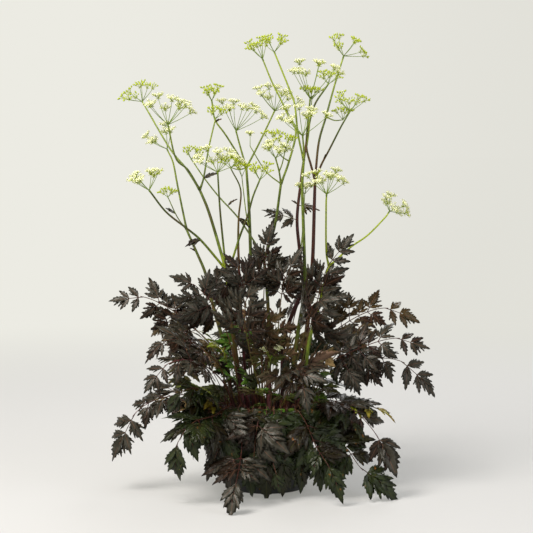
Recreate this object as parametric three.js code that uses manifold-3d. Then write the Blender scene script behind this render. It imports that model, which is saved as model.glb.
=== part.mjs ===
// Ravenswing cow parsley in a nursery pot: dark ferny fronds, forked flower stems and lacy umbels.
// Millimetres, +Z up, origin at the centre of the pot's underside. The plant's front faces -Y.
import * as THREE from 'three';
import { mergeVertices } from 'three/addons/utils/BufferGeometryUtils.js';
import Module from 'manifold-3d';

const wasm = await Module();
wasm.setup();

// Pot
const POT_HEIGHT = 125;
const RIM_RADIUS = 85;
const BASE_RADIUS = 62.5;
const POT_WALL = 2;
const POT_FLOOR = 2.5;
const COLLAR_HEIGHT = 20;
const COLLAR_STEP = 4;
const POT_SIDES = 24;
const DRAINS = 8;
const DRAIN_RADIUS = 5;
const DRAIN_RING_RADIUS = 50;

// Soil, and the plain holes that the stalks stand in
const SOIL_TOP = 112;
const GAP = 0.3;
const FOOT_DEPTH = 16;
const FOOT_COLLAR = 2;

// Fronds
const RACHIS_END = 0.76;
const FOOT_HALF = 1.6;
const RACHIS_HALF_WIDTH = 1.1;
const RACHIS_HALF_HEIGHT = 0.7;
const STALK_STEPS = 4;
const BLADE = 0.9;
const BLADE_CLEARANCE = 0.35;
const ARCH = 0.16;
const SIDE_ARCH = 0.22;
const NECK_OUTSET = 1.5;
const NECK_SHARE = 0.012;
const NECK_LEAST = 0.6;
const FLOOR_CLEARANCE = 1.2;
// Angle between the rachis and its pinnae, and how much less it is at the tip, in degrees
const PINNA_ANGLE = 62;
const PINNA_ANGLE_FALL = 14;
// Share of their length that the pinnae lose from the first pair to the tip
const PINNA_FALL = 0.52;
// How much the pinnae of a frond differ: in angle, lift, roll and length
const ANGLE_SHAKE = 0.14;
const LIFT_SHAKE = 0.22;
const ROLL_SHAKE = 0.3;
const LENGTH_SHAKE = 0.12;
// Shares of a pinna's length: its side leaflets' length, their width, and its end leaflet's width
const NARROW = { long: 0.54, wide: 0.5, end: 0.54 };
const BROAD = { long: 0.6, wide: 0.62, end: 0.66 };

// Stems
const STEM_SIDES = 5;
const BRANCH_SIDES = 3;

// Umbels
const RAY_RADIUS = 0.8;
const HUB_LENGTH = 3;
const HUB_RADIUS = 2.3;
const HUB_RISE = 1.6;
const STAR_RADII = [6, 5, 4, 3];
const STAR_WAIST = 0.5;
const STAR_HEIGHT = 1.9;
const STAR_CORNERS = 6;
const POLAR_SHARES = [1, 0.5, 0.82];
const AZIMUTH_SHAKE = 0.3;
const BUD_SPREAD = 58;
const BUD_NUMBERS = 40;

const MATERIALS = {
  pot: new THREE.MeshStandardMaterial({ name: 'pot', color: '#23262b', roughness: 0.5 }),
  soil: new THREE.MeshStandardMaterial({ name: 'soil', color: '#2a1c15', roughness: 1 }),
  stem: new THREE.MeshStandardMaterial({ name: 'stem', color: '#6f7a3a', roughness: 0.6 }),
  dark: new THREE.MeshStandardMaterial({ name: 'leaf_dark', color: '#35292b', roughness: 0.55 }),
  bronze: new THREE.MeshStandardMaterial({ name: 'leaf_bronze', color: '#6b4c3d', roughness: 0.6 }),
  green: new THREE.MeshStandardMaterial({ name: 'leaf_green', color: '#35402b', roughness: 0.55 }),
  umbel: new THREE.MeshStandardMaterial({ name: 'umbel', color: '#dfe6b4', roughness: 0.7 }),
};

// Ways that the upper side of a frond faces
const FRONT = [-0.1, -0.85, 0.55];
const LEFT_FRONT = [-0.35, -0.8, 0.5];
const RIGHT_FRONT = [0.3, -0.8, 0.55];
const BACK = [0.1, 0.65, 0.75];

// Each frond: the points that its stalk passes through, from the soil to the tip of its end leaf.
// bare is the share of stalk below the first pair of pinnae, and span is the longest pinna.
const FRONDS = {
  frond_left_1: { path: [[-52, 8], [-72, 0, 202], [-128, -20, 271], [-192, -35, 310], [-250, -45, 307]],
    bare: 0.46, span: 64, face: FRONT },
  frond_left_2: { path: [[-40, -22], [-54, -60, 229], [-79, -80, 295], [-109, -100, 334],
    [-145, -120, 353]], bare: 0.44, span: 72, face: LEFT_FRONT },
  frond_left_3: { path: [[-60, -12], [-70, -50, 193], [-109, -90, 241], [-151, -125, 253], [-188, -140, 229]],
    bare: 0.44, span: 64, face: LEFT_FRONT },
  frond_left_4: { path: [[-50, -32], [-65, -80, 177], [-105, -130, 220], [-149, -165, 222],
    [-188, -185, 182]], bare: 0.46, span: 66, face: LEFT_FRONT },
  frond_left_5: { path: [[-66, 22], [-76, 60, 197], [-117, 80, 244], [-160, 95, 256], [-201, 105, 234]],
    bare: 0.5, span: 60, cut: 1, face: FRONT, tone: 'bronze' },
  frond_left_6: { path: [[-66, 8], [-87, -10, 145], [-150, -30, 152], [-206, -50, 129], [-249, -60, 54]],
    bare: 0.46, span: 56, face: LEFT_FRONT },
  frond_left_7: { path: [[-44, -46], [-62, -66, 138], [-82, -102, 132], [-115, -140, 126], [-139, -160, 90],
    [-143, -165, 38]], bare: 0.42, span: 72, face: LEFT_FRONT, broad: true, sag: 0.3, tone: 'green' },
  frond_left_8: { path: [[-63, -26], [-74, -36, 135], [-84, -54, 152], [-110, -75, 171], [-138, -90, 164],
    [-159, -95, 134]], bare: 0.5, pairs: 2, span: 64, face: LEFT_FRONT, broad: true, sag: 0.3,
    tone: 'green' },
  frond_front_1: { path: [[-18, -60], [-26, -84, 137], [-37, -102, 112], [-39, -130, 76], [-47, -195, 40],
    [-57, -228, 6]], bare: 0.62, pairs: 2, span: 60, face: FRONT, broad: true },
  frond_front_2: { path: [[2, -62], [2, -85, 136], [-6, -101, 109], [5, -115, 78], [16, -130, 42],
    [21, -135, 14]], bare: 0.4, pairs: 2, span: 68, face: FRONT, broad: true, sag: 0.3, tone: 'green' },
  frond_front_3: { path: [[38, -55], [45, -74, 137], [60, -92, 122], [77, -115, 86], [98, -150, 57],
    [116, -170, 18]], bare: 0.44, span: 70, face: FRONT, broad: true, sag: 0.25, tone: 'green' },
  frond_front_4: { path: [[58, -34], [72, -46, 137], [90, -62, 112], [124, -90, 80], [154, -110, 44],
    [213, -120, 9]], bare: 0.54, pairs: 2, span: 60, face: RIGHT_FRONT, broad: true, sag: 0.2,
    tone: 'green' },
  frond_front_5: { path: [[64, -10], [80, -18, 139], [104, -34, 145], [141, -60, 131], [177, -85, 91],
    [202, -100, 34]], bare: 0.42, span: 74, face: RIGHT_FRONT, broad: true, sag: 0.25 },
  frond_front_6: { path: [[-32, -58], [-40, -78, 137], [-49, -94, 122], [-66, -108, 101], [-81, -118, 66],
    [-93, -125, 33]], bare: 0.44, pairs: 2, span: 64, face: FRONT, broad: true, sag: 0.25, tone: 'green' },
  frond_front_7: { path: [[-8, -66], [-8, -83, 137], [-14, -104, 118], [-18, -112, 90], [-20, -120, 60],
    [-24, -128, 30]], bare: 0.4, pairs: 2, span: 64, face: FRONT, broad: true, sag: 0.25 },
  frond_right_1: { path: [[68, 4], [88, 4, 171], [142, 0, 202], [213, -15, 206], [278, -25, 156]],
    bare: 0.44, span: 64, face: RIGHT_FRONT, sag: 0.3 },
  frond_right_2: { path: [[46, 21], [73, -10, 182], [132, -40, 223], [202, -60, 248], [257, -70, 235]],
    bare: 0.44, span: 62, face: RIGHT_FRONT },
  frond_right_3: { path: [[55, 43], [76, 34, 209], [127, 30, 260], [190, 30, 286], [252, 30, 268]],
    bare: 0.42, span: 66, face: RIGHT_FRONT, sag: 0, tone: 'bronze' },
  frond_right_4: { path: [[24, -10], [53, -50, 228], [65, -75, 275], [76, -100, 308], [112, -125, 321]],
    bare: 0.44, span: 72, face: RIGHT_FRONT },
  frond_right_5: { path: [[61, 31], [72, 42, 142], [88, 60, 170], [125, 80, 211], [162, 95, 209],
    [196, 100, 161]], bare: 0.46, span: 68, face: RIGHT_FRONT, tone: 'green' },
  frond_centre_1: { path: [[14, -40], [32, -90, 163], [45, -130, 208], [54, -165, 194], [62, -190, 154]],
    bare: 0.4, span: 72, face: FRONT },
  frond_centre_2: { path: [[-8, -20], [-7, -50, 196], [-7, -75, 250], [2, -95, 278], [27, -110, 292]],
    bare: 0.46, pairs: 2, span: 60, face: FRONT, tone: 'bronze' },
  frond_centre_3: { path: [[-22, 12], [-26, -5, 222], [-36, -20, 304], [-42, -35, 350], [-64, -50, 378]],
    bare: 0.54, span: 62, face: FRONT },
  frond_centre_4: { path: [[-6, 34], [-7, 25, 218], [-4, 20, 316], [-1, 10, 379], [7, 0, 427]],
    bare: 0.6, span: 54, face: FRONT, sag: 0 },
  frond_centre_5: { path: [[12, 8], [17, 0, 221], [23, -10, 303], [34, -20, 349], [56, -30, 388]],
    bare: 0.54, span: 64, face: FRONT, sag: 0 },
  frond_centre_6: { path: [[44, 8], [62, 10, 220], [80, 15, 292], [99, 10, 356], [138, 0, 411]],
    bare: 0.54, span: 62, face: FRONT, sag: 0 },
  frond_centre_7: { path: [[-28, 40], [-30, 70, 212], [-47, 90, 293], [-68, 110, 316], [-103, 130, 323]],
    bare: 0.54, span: 62, cut: 1, face: [0.1, -0.4, 0.9], sag: 0 },
  frond_centre_8: { path: [[6, -24], [-18, -60, 194], [-32, -95, 265], [-31, -115, 314], [-13, -140, 339]],
    bare: 0.5, span: 62, face: FRONT },
  frond_back_1: { path: [[16, 64], [34, 110, 207], [57, 160, 286], [89, 200, 308], [137, 230, 279]],
    bare: 0.46, span: 72, cut: 1, face: BACK },
  frond_back_2: { path: [[-14, 60], [-28, 120, 189], [-39, 180, 232], [-46, 220, 236], [-54, 260, 196]],
    bare: 0.44, span: 74, cut: 1, face: BACK },
  frond_back_3: { path: [[-44, 48], [-53, 100, 175], [-105, 160, 200], [-132, 190, 179], [-159, 210, 115]],
    bare: 0.4, span: 72, cut: 1, face: BACK, tone: 'green' },
  frond_back_4: { path: [[36, 60], [41, 77, 138], [62, 104, 150], [92, 140, 140], [120, 165, 95],
    [130, 172, 50]], bare: 0.42, pairs: 2, span: 72, face: BACK, broad: true, sag: 0.2, tone: 'green' },
  frond_back_5: { path: [[0, 68], [2, 85, 138], [6, 113, 128], [2, 140, 90], [-4, 160, 52],
    [-8, 170, 20]], bare: 0.42, pairs: 2, span: 70, face: BACK, broad: true, sag: 0.2 },
  frond_back_6: { path: [[-30, 62], [-38, 76, 138], [-50, 106, 142], [-72, 132, 125], [-92, 150, 85],
    [-100, 158, 45]], bare: 0.42, pairs: 2, span: 70, face: BACK, broad: true, sag: 0.2, tone: 'green' },
};

// Each stem: its branches, the first one rising from the soil, with the radius at both ends.
// A branch that ends in a hub has an umbel, and one that ends in a bud has a little umbel of its own.
const FORK_1 = [-64, -25, 352];
const FORK_2 = [-106, -10, 479];
const FORK_3 = [-4, 35, 365];
const FORK_4 = [23, 0, 488];
const FORK_5 = [78, 20, 494];
const FORK_6 = [58, -58, 526];
const FORK_7 = [101, 35, 354];
const FORK_8 = [-132, 95, 409];
const FORK_9 = [-33, 70, 512];
const STEMS = {
  stem_1: {
    branches: [
      { path: [[-37, -5], [-43, 0, 168], [-54, -10, 255], FORK_1], radii: [5.4, 3.4] },
      { path: [FORK_1, [-77, -32, 369], [-103, -55, 402], [-123, -75, 421], [-154, -100, 448],
        [-177, -120, 480]], radii: [2.4, 1.5], umbel: 'umbel_4' },
      { path: [FORK_1, [-90, -20, 440], FORK_2], radii: [2.8, 2.3] },
      { path: [FORK_2, [-129, 10, 513], [-156, 30, 545], [-200, 60, 617]], radii: [2, 1.4],
        umbel: 'umbel_1' },
      { path: [FORK_2, [-124, -25, 511], [-142, -45, 530], [-152, -70, 579]], radii: [1.9, 1.4],
        umbel: 'umbel_2' },
      { path: [FORK_2, [-100, -5, 498], [-92, 10, 546], [-82, 20, 590]], radii: [1.8, 1.2], bud: 14 },
      { path: [FORK_1, [-66, -35, 372], [-72, -70, 447], [-75, -90, 506]], radii: [2.2, 1.4],
        umbel: 'umbel_6' },
      { path: [FORK_1, [-55, -30, 367], [-42, -50, 407], [-29, -75, 442], [-21, -90, 471], [-11, -100, 496]],
        radii: [2.2, 1.4], bud: 21, rays: 6 },
    ],
    leaves: [
      { at: [-100, -5, 498], way: [0.6, -0.5, 0.8], length: 26 },
      { at: [-103, -55, 402], way: [-0.9, -0.3, -0.1], length: 30 },
      { at: FORK_1, way: [-0.5, -0.8, 0.3], length: 34 },
    ],
  },
  stem_2: {
    branches: [
      { path: [[5, 35], [4, 60, 182], [4, 50, 231], [2, 42, 296], FORK_3], radii: [5, 3] },
      { path: [FORK_3, [7, 28, 397], [15, 18, 429], FORK_4], radii: [2.7, 2.2] },
      { path: [FORK_4, [20, -20, 508], [15, -30, 527]], radii: [1.7, 1.3], umbel: 'umbel_13' },
      { path: [FORK_4, [36, 5, 524], [47, 15, 570], [36, 20, 594], [23, 25, 622], [8, 28, 652],
        [-5, 30, 684]], radii: [2, 1.3], umbel: 'umbel_8' },
      { path: [FORK_3, [-15, 45, 385], [-45, 65, 429], [-78, 85, 464], [-103, 95, 495], [-123, 100, 524]],
        radii: [1.8, 1.1], bud: 16 },
    ],
  },
  stem_3: {
    branches: [
      { path: [[27, 55], [29, 58, 230], [58, 55, 315], [55, 60, 368], [50, 65, 427], [56, 70, 487],
        [61, 72, 525], [75, 78, 605], [100, 80, 647]], radii: [4.6, 1.6], bud: 16, rays: 5 },
    ],
    leaves: [
      { at: [50, 65, 427], way: [-0.9, -0.25, 0.35], length: 66, cut: 2 },
    ],
  },
  stem_4: {
    branches: [
      { path: [[50, 35], [66, 50, 248], [72, 35, 330], [75, 30, 372], [77, 22, 455], FORK_5],
        radii: [5, 2.8] },
      { path: [FORK_5, [71, 15, 518], [64, 10, 545], [65, 5, 577], [69, 0, 620]], radii: [2.2, 1.5],
        umbel: 'umbel_9' },
      { path: [FORK_5, [84, 30, 553], [96, 42, 595], [111, 52, 649], [124, 60, 690]], radii: [2.2, 1.4],
        umbel: 'umbel_10' },
      { path: [FORK_5, [88, 0, 520], [99, -15, 542], [116, -45, 578], [128, -60, 600]], radii: [2, 1.3],
        umbel: 'umbel_11' },
    ],
    leaves: [{ at: [92, -5, 528], way: [0.6, -0.6, 0.2], length: 24 }],
  },
  stem_5: {
    branches: [
      { path: [[33, 2], [49, 15, 236], [62, -5, 320], [61, -12, 350], [58, -30, 432], [56, -45, 489], FORK_6],
        radii: [4.4, 2.4] },
      { path: [FORK_6, [58, -66, 541], [56, -80, 562]], radii: [1.8, 1.4], umbel: 'umbel_12' },
      { path: [FORK_6, [49, -55, 568], [44, -50, 613], [35, -45, 639], [13, -40, 693]], radii: [1.8, 1.4],
        bud: 21, rays: 6 },
    ],
  },
  stem_6: {
    branches: [
      { path: [[62, 20], [67, 20, 219], [84, 30, 286], FORK_7], radii: [4.2, 2.6] },
      { path: [FORK_7, [96, 15, 381], [93, -60, 454], [93, -75, 472]], radii: [1.9, 1.4], umbel: 'umbel_14' },
      { path: [FORK_7, [109, 38, 360], [137, 45, 384], [165, 52, 403], [193, 58, 431], [199, 60, 439]],
        radii: [1.9, 1.3], umbel: 'umbel_15' },
    ],
    leaves: [{ at: FORK_7, way: [0.8, -0.5, -0.2], length: 28 }],
  },
  stem_7: {
    branches: [
      { path: [[-54, 35], [-68, 45, 215], [-88, 60, 288], [-100, 75, 337], [-115, 85, 372], FORK_8],
        radii: [4.2, 2.2] },
      { path: [FORK_8, [-147, 110, 479], [-155, 116, 519], [-164, 120, 539]], radii: [1.9, 1.3],
        umbel: 'umbel_3' },
      { path: [FORK_8, [-148, 104, 430], [-163, 110, 461]], radii: [1.2, 0.9], bud: 9 },
    ],
    leaves: [{ at: [-115, 85, 372], way: [-0.6, -0.5, 0.4], length: 30 }],
  },
  stem_8: {
    branches: [
      { path: [[-18, 45], [-19, 45, 215], [-24, 52, 313], [-27, 60, 406], [-29, 64, 455], FORK_9],
        radii: [4.4, 2.4] },
      { path: [FORK_9, [-42, 72, 543], [-49, 75, 569]], radii: [1.8, 1.4], umbel: 'umbel_5' },
      { path: [FORK_9, [-13, 90, 550], [12, 110, 602]], radii: [1.8, 1.4], umbel: 'umbel_7' },
      { path: [FORK_9, [-38, 66, 520], [-65, 50, 564], [-83, 45, 590], [-88, 42, 619]], radii: [1.7, 1.4],
        bud: 19, rays: 6 },
    ],
  },
  stem_9: {
    branches: [
      { path: [[-30, 20], [-39, 0, 254], [-44, -10, 359], [-45, -12, 402], [-44, -12, 438], [-41, -12, 479],
        [-56, -14, 512]], radii: [3.2, 1.2], bud: 12 },
    ],
    leaves: [{ at: [-45, -12, 402], way: [-0.4, -0.8, 0.3], length: 24 }],
  },
};

// Each umbel: the way it leans, its rays, their length and how far they spread from the lean, in degrees
const UMBELS = {
  umbel_1: { lean: [-0.5, 0, 1], rays: 8, length: 28, spread: 68 },
  umbel_2: { lean: [0.1, 0, 1], rays: 9, length: 42, spread: 58 },
  umbel_3: { lean: [-0.6, 0, 1], rays: 6, length: 34, spread: 58 },
  umbel_4: { lean: [-0.3, 0, 1], rays: 7, length: 28, spread: 55 },
  umbel_5: { lean: [0.25, 0, 1], rays: 9, length: 45, spread: 50 },
  umbel_6: { lean: [0, 0, 1], rays: 9, length: 36, spread: 68 },
  umbel_7: { lean: [0.2, 0, 1], rays: 9, length: 38, spread: 60 },
  umbel_8: { lean: [-0.4, 0, 1], rays: 7, length: 28, spread: 45 },
  umbel_9: { lean: [0.05, 0, 1], rays: 8, length: 54, spread: 48 },
  umbel_10: { lean: [0.35, 0, 1], rays: 8, length: 30, spread: 72 },
  umbel_11: { lean: [0.1, 0, 1], rays: 7, length: 25, spread: 62 },
  umbel_12: { lean: [-0.1, 0, 1], rays: 9, length: 42, spread: 58 },
  umbel_13: { lean: [0.15, 0, 1], rays: 7, length: 22, spread: 62 },
  umbel_14: { lean: [0, 0, 1], rays: 9, length: 34, spread: 58 },
  umbel_15: { lean: [0.6, 0, 0.8], rays: 7, length: 25, spread: 78 },
};

// Turns that a pinna or a ray tries until it is clear: sideways and upwards, as slopes, and its length
const SLOPES = [[0, 0], [0, 0.25], [0, -0.25], [0.25, 0], [-0.25, 0], [0.25, 0.25], [-0.25, -0.25],
  [0.25, -0.25], [-0.25, 0.25], [0, 0.55], [0, -0.55], [0.5, 0], [-0.5, 0], [0, 1], [0, -1]];
const SHARES = [1, 0.75, 0.55];
const TURNS = SHARES.flatMap((share) => (
  SLOPES.map(([sideways, upwards]) => ({ sideways, upwards, share }))));

// Shifts that a ray tries round its umbel, as shares of the step between two rays
const SHIFTS = [0, 0.25, -0.25];

const point = (x, y, z) => new THREE.Vector3(x, y, z);
const UP = point(0, 0, 1);
const BACKWARDS = point(0, 1, 0);
const unitOf = (values) => point(...values).normalize();

// A number from -1 to 1 that its whole-number arguments fix
function shake(a, b = 0, c = 0, d = 0) {
  const x = Math.sin(a * 12.9898 + b * 78.233 + c * 37.719 + d * 9.131) * 43758.5453;
  return 2 * (x - Math.floor(x)) - 1;
}

// The part of a direction that is square to an axis
function squareTo(direction, axis) {
  return direction.clone().addScaledVector(axis, -direction.dot(axis)).normalize();
}

function curveThrough(path) {
  const points = path.map(([x, y, z = SOIL_TOP + FOOT_COLLAR]) => point(x, y, z));
  return new THREE.CatmullRomCurve3(points, false, 'catmullrom', 0.5);
}

function tangentOn(curve, t) {
  const ahead = curve.getPoint(Math.min(1, t + 0.002));
  return ahead.sub(curve.getPoint(Math.max(0, t - 0.002))).normalize();
}

function solidFrom(points, triangles) {
  const vertProperties = Float32Array.from(points.flatMap((p) => [p.x, p.y, p.z]));
  const triVerts = Uint32Array.from(triangles.flat());
  return new wasm.Manifold(new wasm.Mesh({ numProp: 3, vertProperties, triVerts }));
}

function solidFromGeometry(geometry) {
  geometry.deleteAttribute('normal');
  geometry.deleteAttribute('uv');
  const merged = mergeVertices(geometry, 1e-4);
  const corners = merged.getIndex().array;
  const triangles = [];
  for (let i = 0; i < corners.length; i += 3) {
    const [a, b, c] = corners.slice(i, i + 3);
    if (a !== b && b !== c && c !== a) triangles.push([a, b, c]);
  }
  const spots = merged.getAttribute('position');
  const points = Array.from({ length: spots.count }, (_, i) => (
    point(spots.getX(i), spots.getY(i), spots.getZ(i))));
  return solidFrom(points, triangles);
}

// A closed tube: rings of { at, along, radius }, with corner 0 turned towards the reference direction
function tube(rings, reference, sides) {
  const points = rings.flatMap((ring) => ringCorners(ring, reference, sides));
  const triangles = [];
  for (let ring = 0; ring + 1 < rings.length; ring++) {
    for (let i = 0; i < sides; i++) {
      triangles.push(...wall(ring * sides, (ring + 1) * sides, i, (i + 1) % sides));
    }
  }
  const last = (rings.length - 1) * sides;
  for (let i = 1; i + 1 < sides; i++) {
    triangles.push([0, i + 1, i], [last, last + i, last + i + 1]);
  }
  return solidFrom(points, triangles);
}

// The corners of a ring, anticlockwise about its axis
function ringCorners({ at, along, radius }, reference, sides) {
  const first = squareTo(reference, along);
  const second = along.clone().cross(first);
  return Array.from({ length: sides }, (_, i) => {
    const angle = (2 * Math.PI * i) / sides;
    const corner = at.clone().addScaledVector(first, radius * Math.cos(angle));
    return corner.addScaledVector(second, radius * Math.sin(angle));
  });
}

// The two triangles between corners i and j of one ring and of the next
function wall(lower, upper, i, j) {
  return [[lower + i, lower + j, upper + j], [lower + i, upper + j, upper + i]];
}

// Rings of a tapered stem. One that rises from the soil starts with an upright foot in the soil.
function stemRings(curve, steps, radii, rooted) {
  const rings = [];
  const foot = curve.getPoint(0);
  if (rooted) {
    const bottom = point(foot.x, foot.y, SOIL_TOP - FOOT_DEPTH);
    rings.push({ at: bottom, along: UP, radius: radii[0] }, { at: foot, along: UP, radius: radii[0] });
  }
  for (let i = rooted ? 1 : 0; i <= steps; i++) {
    const t = i / steps;
    const radius = THREE.MathUtils.lerp(radii[0], radii[1], t);
    rings.push({ at: curve.getPoint(t), along: tangentOn(curve, t), radius });
  }
  return rings;
}

// Solids already placed, each with its node's name and its bounding box
const placed = [];

function place(node, solid) {
  placed.push({ node, solid, box: solid.boundingBox() });
}

function boxesMeet(a, b) {
  return [0, 1, 2].every((i) => a.min[i] <= b.max[i] && b.min[i] <= a.max[i]);
}

// Whether a solid crosses nothing that is placed, apart from pieces of the named node
function isClear(solid, node) {
  const box = solid.boundingBox();
  return placed.every((other) => {
    if (other.node === node || !boxesMeet(box, other.box)) return true;
    const common = other.solid.intersect(solid);
    const empty = common.isEmpty();
    common.delete();
    return empty;
  });
}

// The way across a frond, square to its run from the first pair to the tip and to its face
function sideOf(curve, frond) {
  const run = curve.getPoint(1).sub(curve.getPoint(frond.bare)).normalize();
  return run.clone().cross(squareTo(unitOf(frond.face), run));
}

// The four corners of a frond's stalk: front and back on one side, then back and front on the other
function stalkCorners(at, along, side, width, height) {
  const across = squareTo(side, along);
  const normal = across.clone().cross(along);
  return [[1, 1], [1, -1], [-1, -1], [-1, 1]].map(([right, rise]) => {
    return at.clone().addScaledVector(across, right * width).addScaledVector(normal, rise * height);
  });
}

// The same corners at a place on the stalk, which is slimmer towards the tip
function cornersOn(curve, side, t) {
  const share = t / RACHIS_END;
  const width = THREE.MathUtils.lerp(FOOT_HALF, RACHIS_HALF_WIDTH, share);
  const height = THREE.MathUtils.lerp(FOOT_HALF, RACHIS_HALF_HEIGHT, share);
  return stalkCorners(curve.getPoint(t), tangentOn(curve, t), side, width, height);
}

// How long the pinnae are at a share of the way from the first pair to the tip
const pinnaLength = (span, share) => span * (1 - PINNA_FALL * share);

// Half the width of the neck that a pinna stands on
const neckOf = (length) => NECK_SHARE * length + NECK_LEAST;

// Where the necks of a pair of pinnae start on the stalk, where their middle is and where they end
function pairPlaces(curve, { bare, pairs = 3, span }, pair) {
  const t = bare + (RACHIS_END - bare) * (pair / pairs);
  const speed = curve.getPoint(t + 0.002).distanceTo(curve.getPoint(t - 0.002)) / 0.004;
  const half = neckOf(pinnaLength(span, pair / pairs)) / speed;
  return [t - half, t, t + half];
}

// The pinnae of a frond: two at each step along the rachis, and one that ends it
function pinnaeOf(frond, curve, number) {
  const { pairs = 3, span, cut = 2, broad = false, sag = 0.15 } = frond;
  const across = sideOf(curve, frond);
  const pinnae = [];
  for (let pair = 0; pair < pairs; pair++) {
    const [start, t, end] = pairPlaces(curve, frond, pair);
    const lower = cornersOn(curve, across, start);
    const upper = cornersOn(curve, across, end);
    const along = tangentOn(curve, t);
    const level = squareTo(across, along);
    const normal = level.clone().cross(along);
    const leaflets = broad || pair >= Math.max(1, pairs - 2) ? 1 : cut;
    for (const side of [1, -1]) {
      const right = [lower[0], lower[1], upper[0], upper[1]];
      const neck = side === 1 ? right : [upper[3], upper[2], lower[3], lower[2]];
      const opening = THREE.MathUtils.degToRad(PINNA_ANGLE - (PINNA_ANGLE_FALL * pair) / pairs);
      const angle = opening + ANGLE_SHAKE * shake(number, pair, side, 1);
      const direction = along.clone().multiplyScalar(Math.cos(angle));
      direction.addScaledVector(level, side * Math.sin(angle));
      direction.addScaledVector(normal, LIFT_SHAKE * shake(number, pair, side, 2));
      direction.z -= sag;
      direction.normalize();
      const up = squareTo(normal, direction);
      const roll = direction.clone().cross(up).multiplyScalar(ROLL_SHAKE * shake(number, pair, side, 3));
      up.add(roll).normalize();
      const root = curve.getPoint(t);
      const length = pinnaLength(span, pair / pairs) * (1 + LENGTH_SHAKE * shake(number, pair, side, 4));
      pinnae.push({ t, side, neck, root, direction, up, length, leaflets, broad });
    }
  }
  const root = curve.getPoint(RACHIS_END);
  const tip = curve.getPoint(1);
  const direction = tip.clone().sub(root).normalize();
  const up = squareTo(unitOf(frond.face), direction);
  const length = tip.distanceTo(root);
  const [right, rightBack, leftBack, left] = cornersOn(curve, across, RACHIS_END);
  const neck = [right, rightBack, left, leftBack];
  pinnae.push({ t: RACHIS_END, side: 0, neck, root, direction, up, length, leaflets: 1, broad });
  return pinnae;
}

// The same pinna bent to one of the turns
function turned(pinna, { sideways, upwards, share }) {
  const across = pinna.direction.clone().cross(pinna.up);
  const direction = pinna.direction.clone().addScaledVector(across, sideways);
  direction.addScaledVector(pinna.up, upwards).normalize();
  return { ...pinna, direction, up: squareTo(pinna.up, direction), length: pinna.length * share };
}

// The outline of a pinna along its rib and across it: side leaflets cut to the rib and an end leaflet.
// It starts a little way out from the middle of the stalk.
function pinnaOutline({ length, leaflets, broad }, outset) {
  const neck = neckOf(length);
  const first = leaflets > 1 ? 0.17 : 0.24;
  const last = leaflets > 1 ? 0.43 : 0.24;
  const shares = broad ? BROAD : NARROW;
  const half = [];
  for (let i = 0; i < leaflets; i++) {
    const start = length * (first + ((last - first) * i) / Math.max(1, leaflets - 1));
    const long = length * shares.long * (1 - (0.34 * i) / leaflets);
    const wide = long * shares.wide;
    const angle = THREE.MathUtils.degToRad(52 - (8 * i) / leaflets);
    const [c, s] = [Math.cos(angle), Math.sin(angle)];
    half.push([start + 0.42 * long * c - 0.3 * wide * s, 0.42 * long * s + 0.3 * wide * c]);
    half.push([start + long * c, long * s]);
    half.push([start + 0.62 * wide, 2.2 * neck]);
  }
  const start = half[half.length - 1][0];
  const wide = (length - start) * shares.end;
  half.push([start + 0.36 * (length - start), 0.5 * wide]);
  const mirrored = half.map(([along, across]) => [along, -across]).reverse();
  return [[outset, neck], ...half, [length, 0], ...mirrored, [outset, -neck]];
}

// A thin arched blade: the points of its two faces, and the triangles that both faces carry alike.
// Where the pinna has a neck, it starts from the neck's corners on the stalk.
function bladeFaces(pinna, thickness, outset = NECK_OUTSET) {
  const outline = pinnaOutline(pinna, outset).map(([along, across]) => new THREE.Vector2(along, across));
  const across = pinna.direction.clone().cross(pinna.up);
  const onFace = ({ x: u, y: v }, height) => {
    const drop = (ARCH * u * u) / pinna.length + (SIDE_ARCH * Math.abs(v) ** 1.5) / Math.sqrt(pinna.length);
    const spot = pinna.root.clone().addScaledVector(pinna.direction, u).addScaledVector(across, v);
    spot.addScaledVector(pinna.up, height - drop);
    spot.z = Math.max(spot.z, FLOOR_CLEARANCE + (height > 0 ? thickness : 0));
    return spot;
  };
  const turn = Math.sign(THREE.ShapeUtils.area(outline));
  const triangles = THREE.ShapeUtils.triangulateShape(outline, []).map(([a, b, c]) => {
    const area = THREE.ShapeUtils.area([outline[a], outline[b], outline[c]]);
    return Math.sign(area) === turn ? [a, b, c] : [a, c, b];
  });
  const top = outline.map((spot) => onFace(spot, thickness / 2));
  const bottom = outline.map((spot) => onFace(spot, -thickness / 2));
  const last = outline.length - 1;
  if (pinna.neck) [top[0], bottom[0], top[last], bottom[last]] = pinna.neck;
  return { top, bottom, triangles };
}

// Triangles of a blade's two faces and its edge. ids hold the numbers of its points on each face.
function bladeTriangles(topIds, bottomIds, triangles, closed) {
  const found = [];
  for (const [a, b, c] of triangles) {
    found.push([topIds[a], topIds[b], topIds[c]], [bottomIds[a], bottomIds[c], bottomIds[b]]);
  }
  const edges = closed ? topIds.length : topIds.length - 1;
  for (let i = 0; i < edges; i++) {
    const next = (i + 1) % topIds.length;
    found.push([bottomIds[i], bottomIds[next], topIds[next]], [bottomIds[i], topIds[next], topIds[i]]);
  }
  return found;
}

function blade(pinna, thickness, outset) {
  const { top, bottom, triangles } = bladeFaces(pinna, thickness, outset);
  const topIds = top.map((_, i) => i);
  const bottomIds = topIds.map((i) => i + top.length);
  return solidFrom([...top, ...bottom], bladeTriangles(topIds, bottomIds, triangles, true));
}

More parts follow.
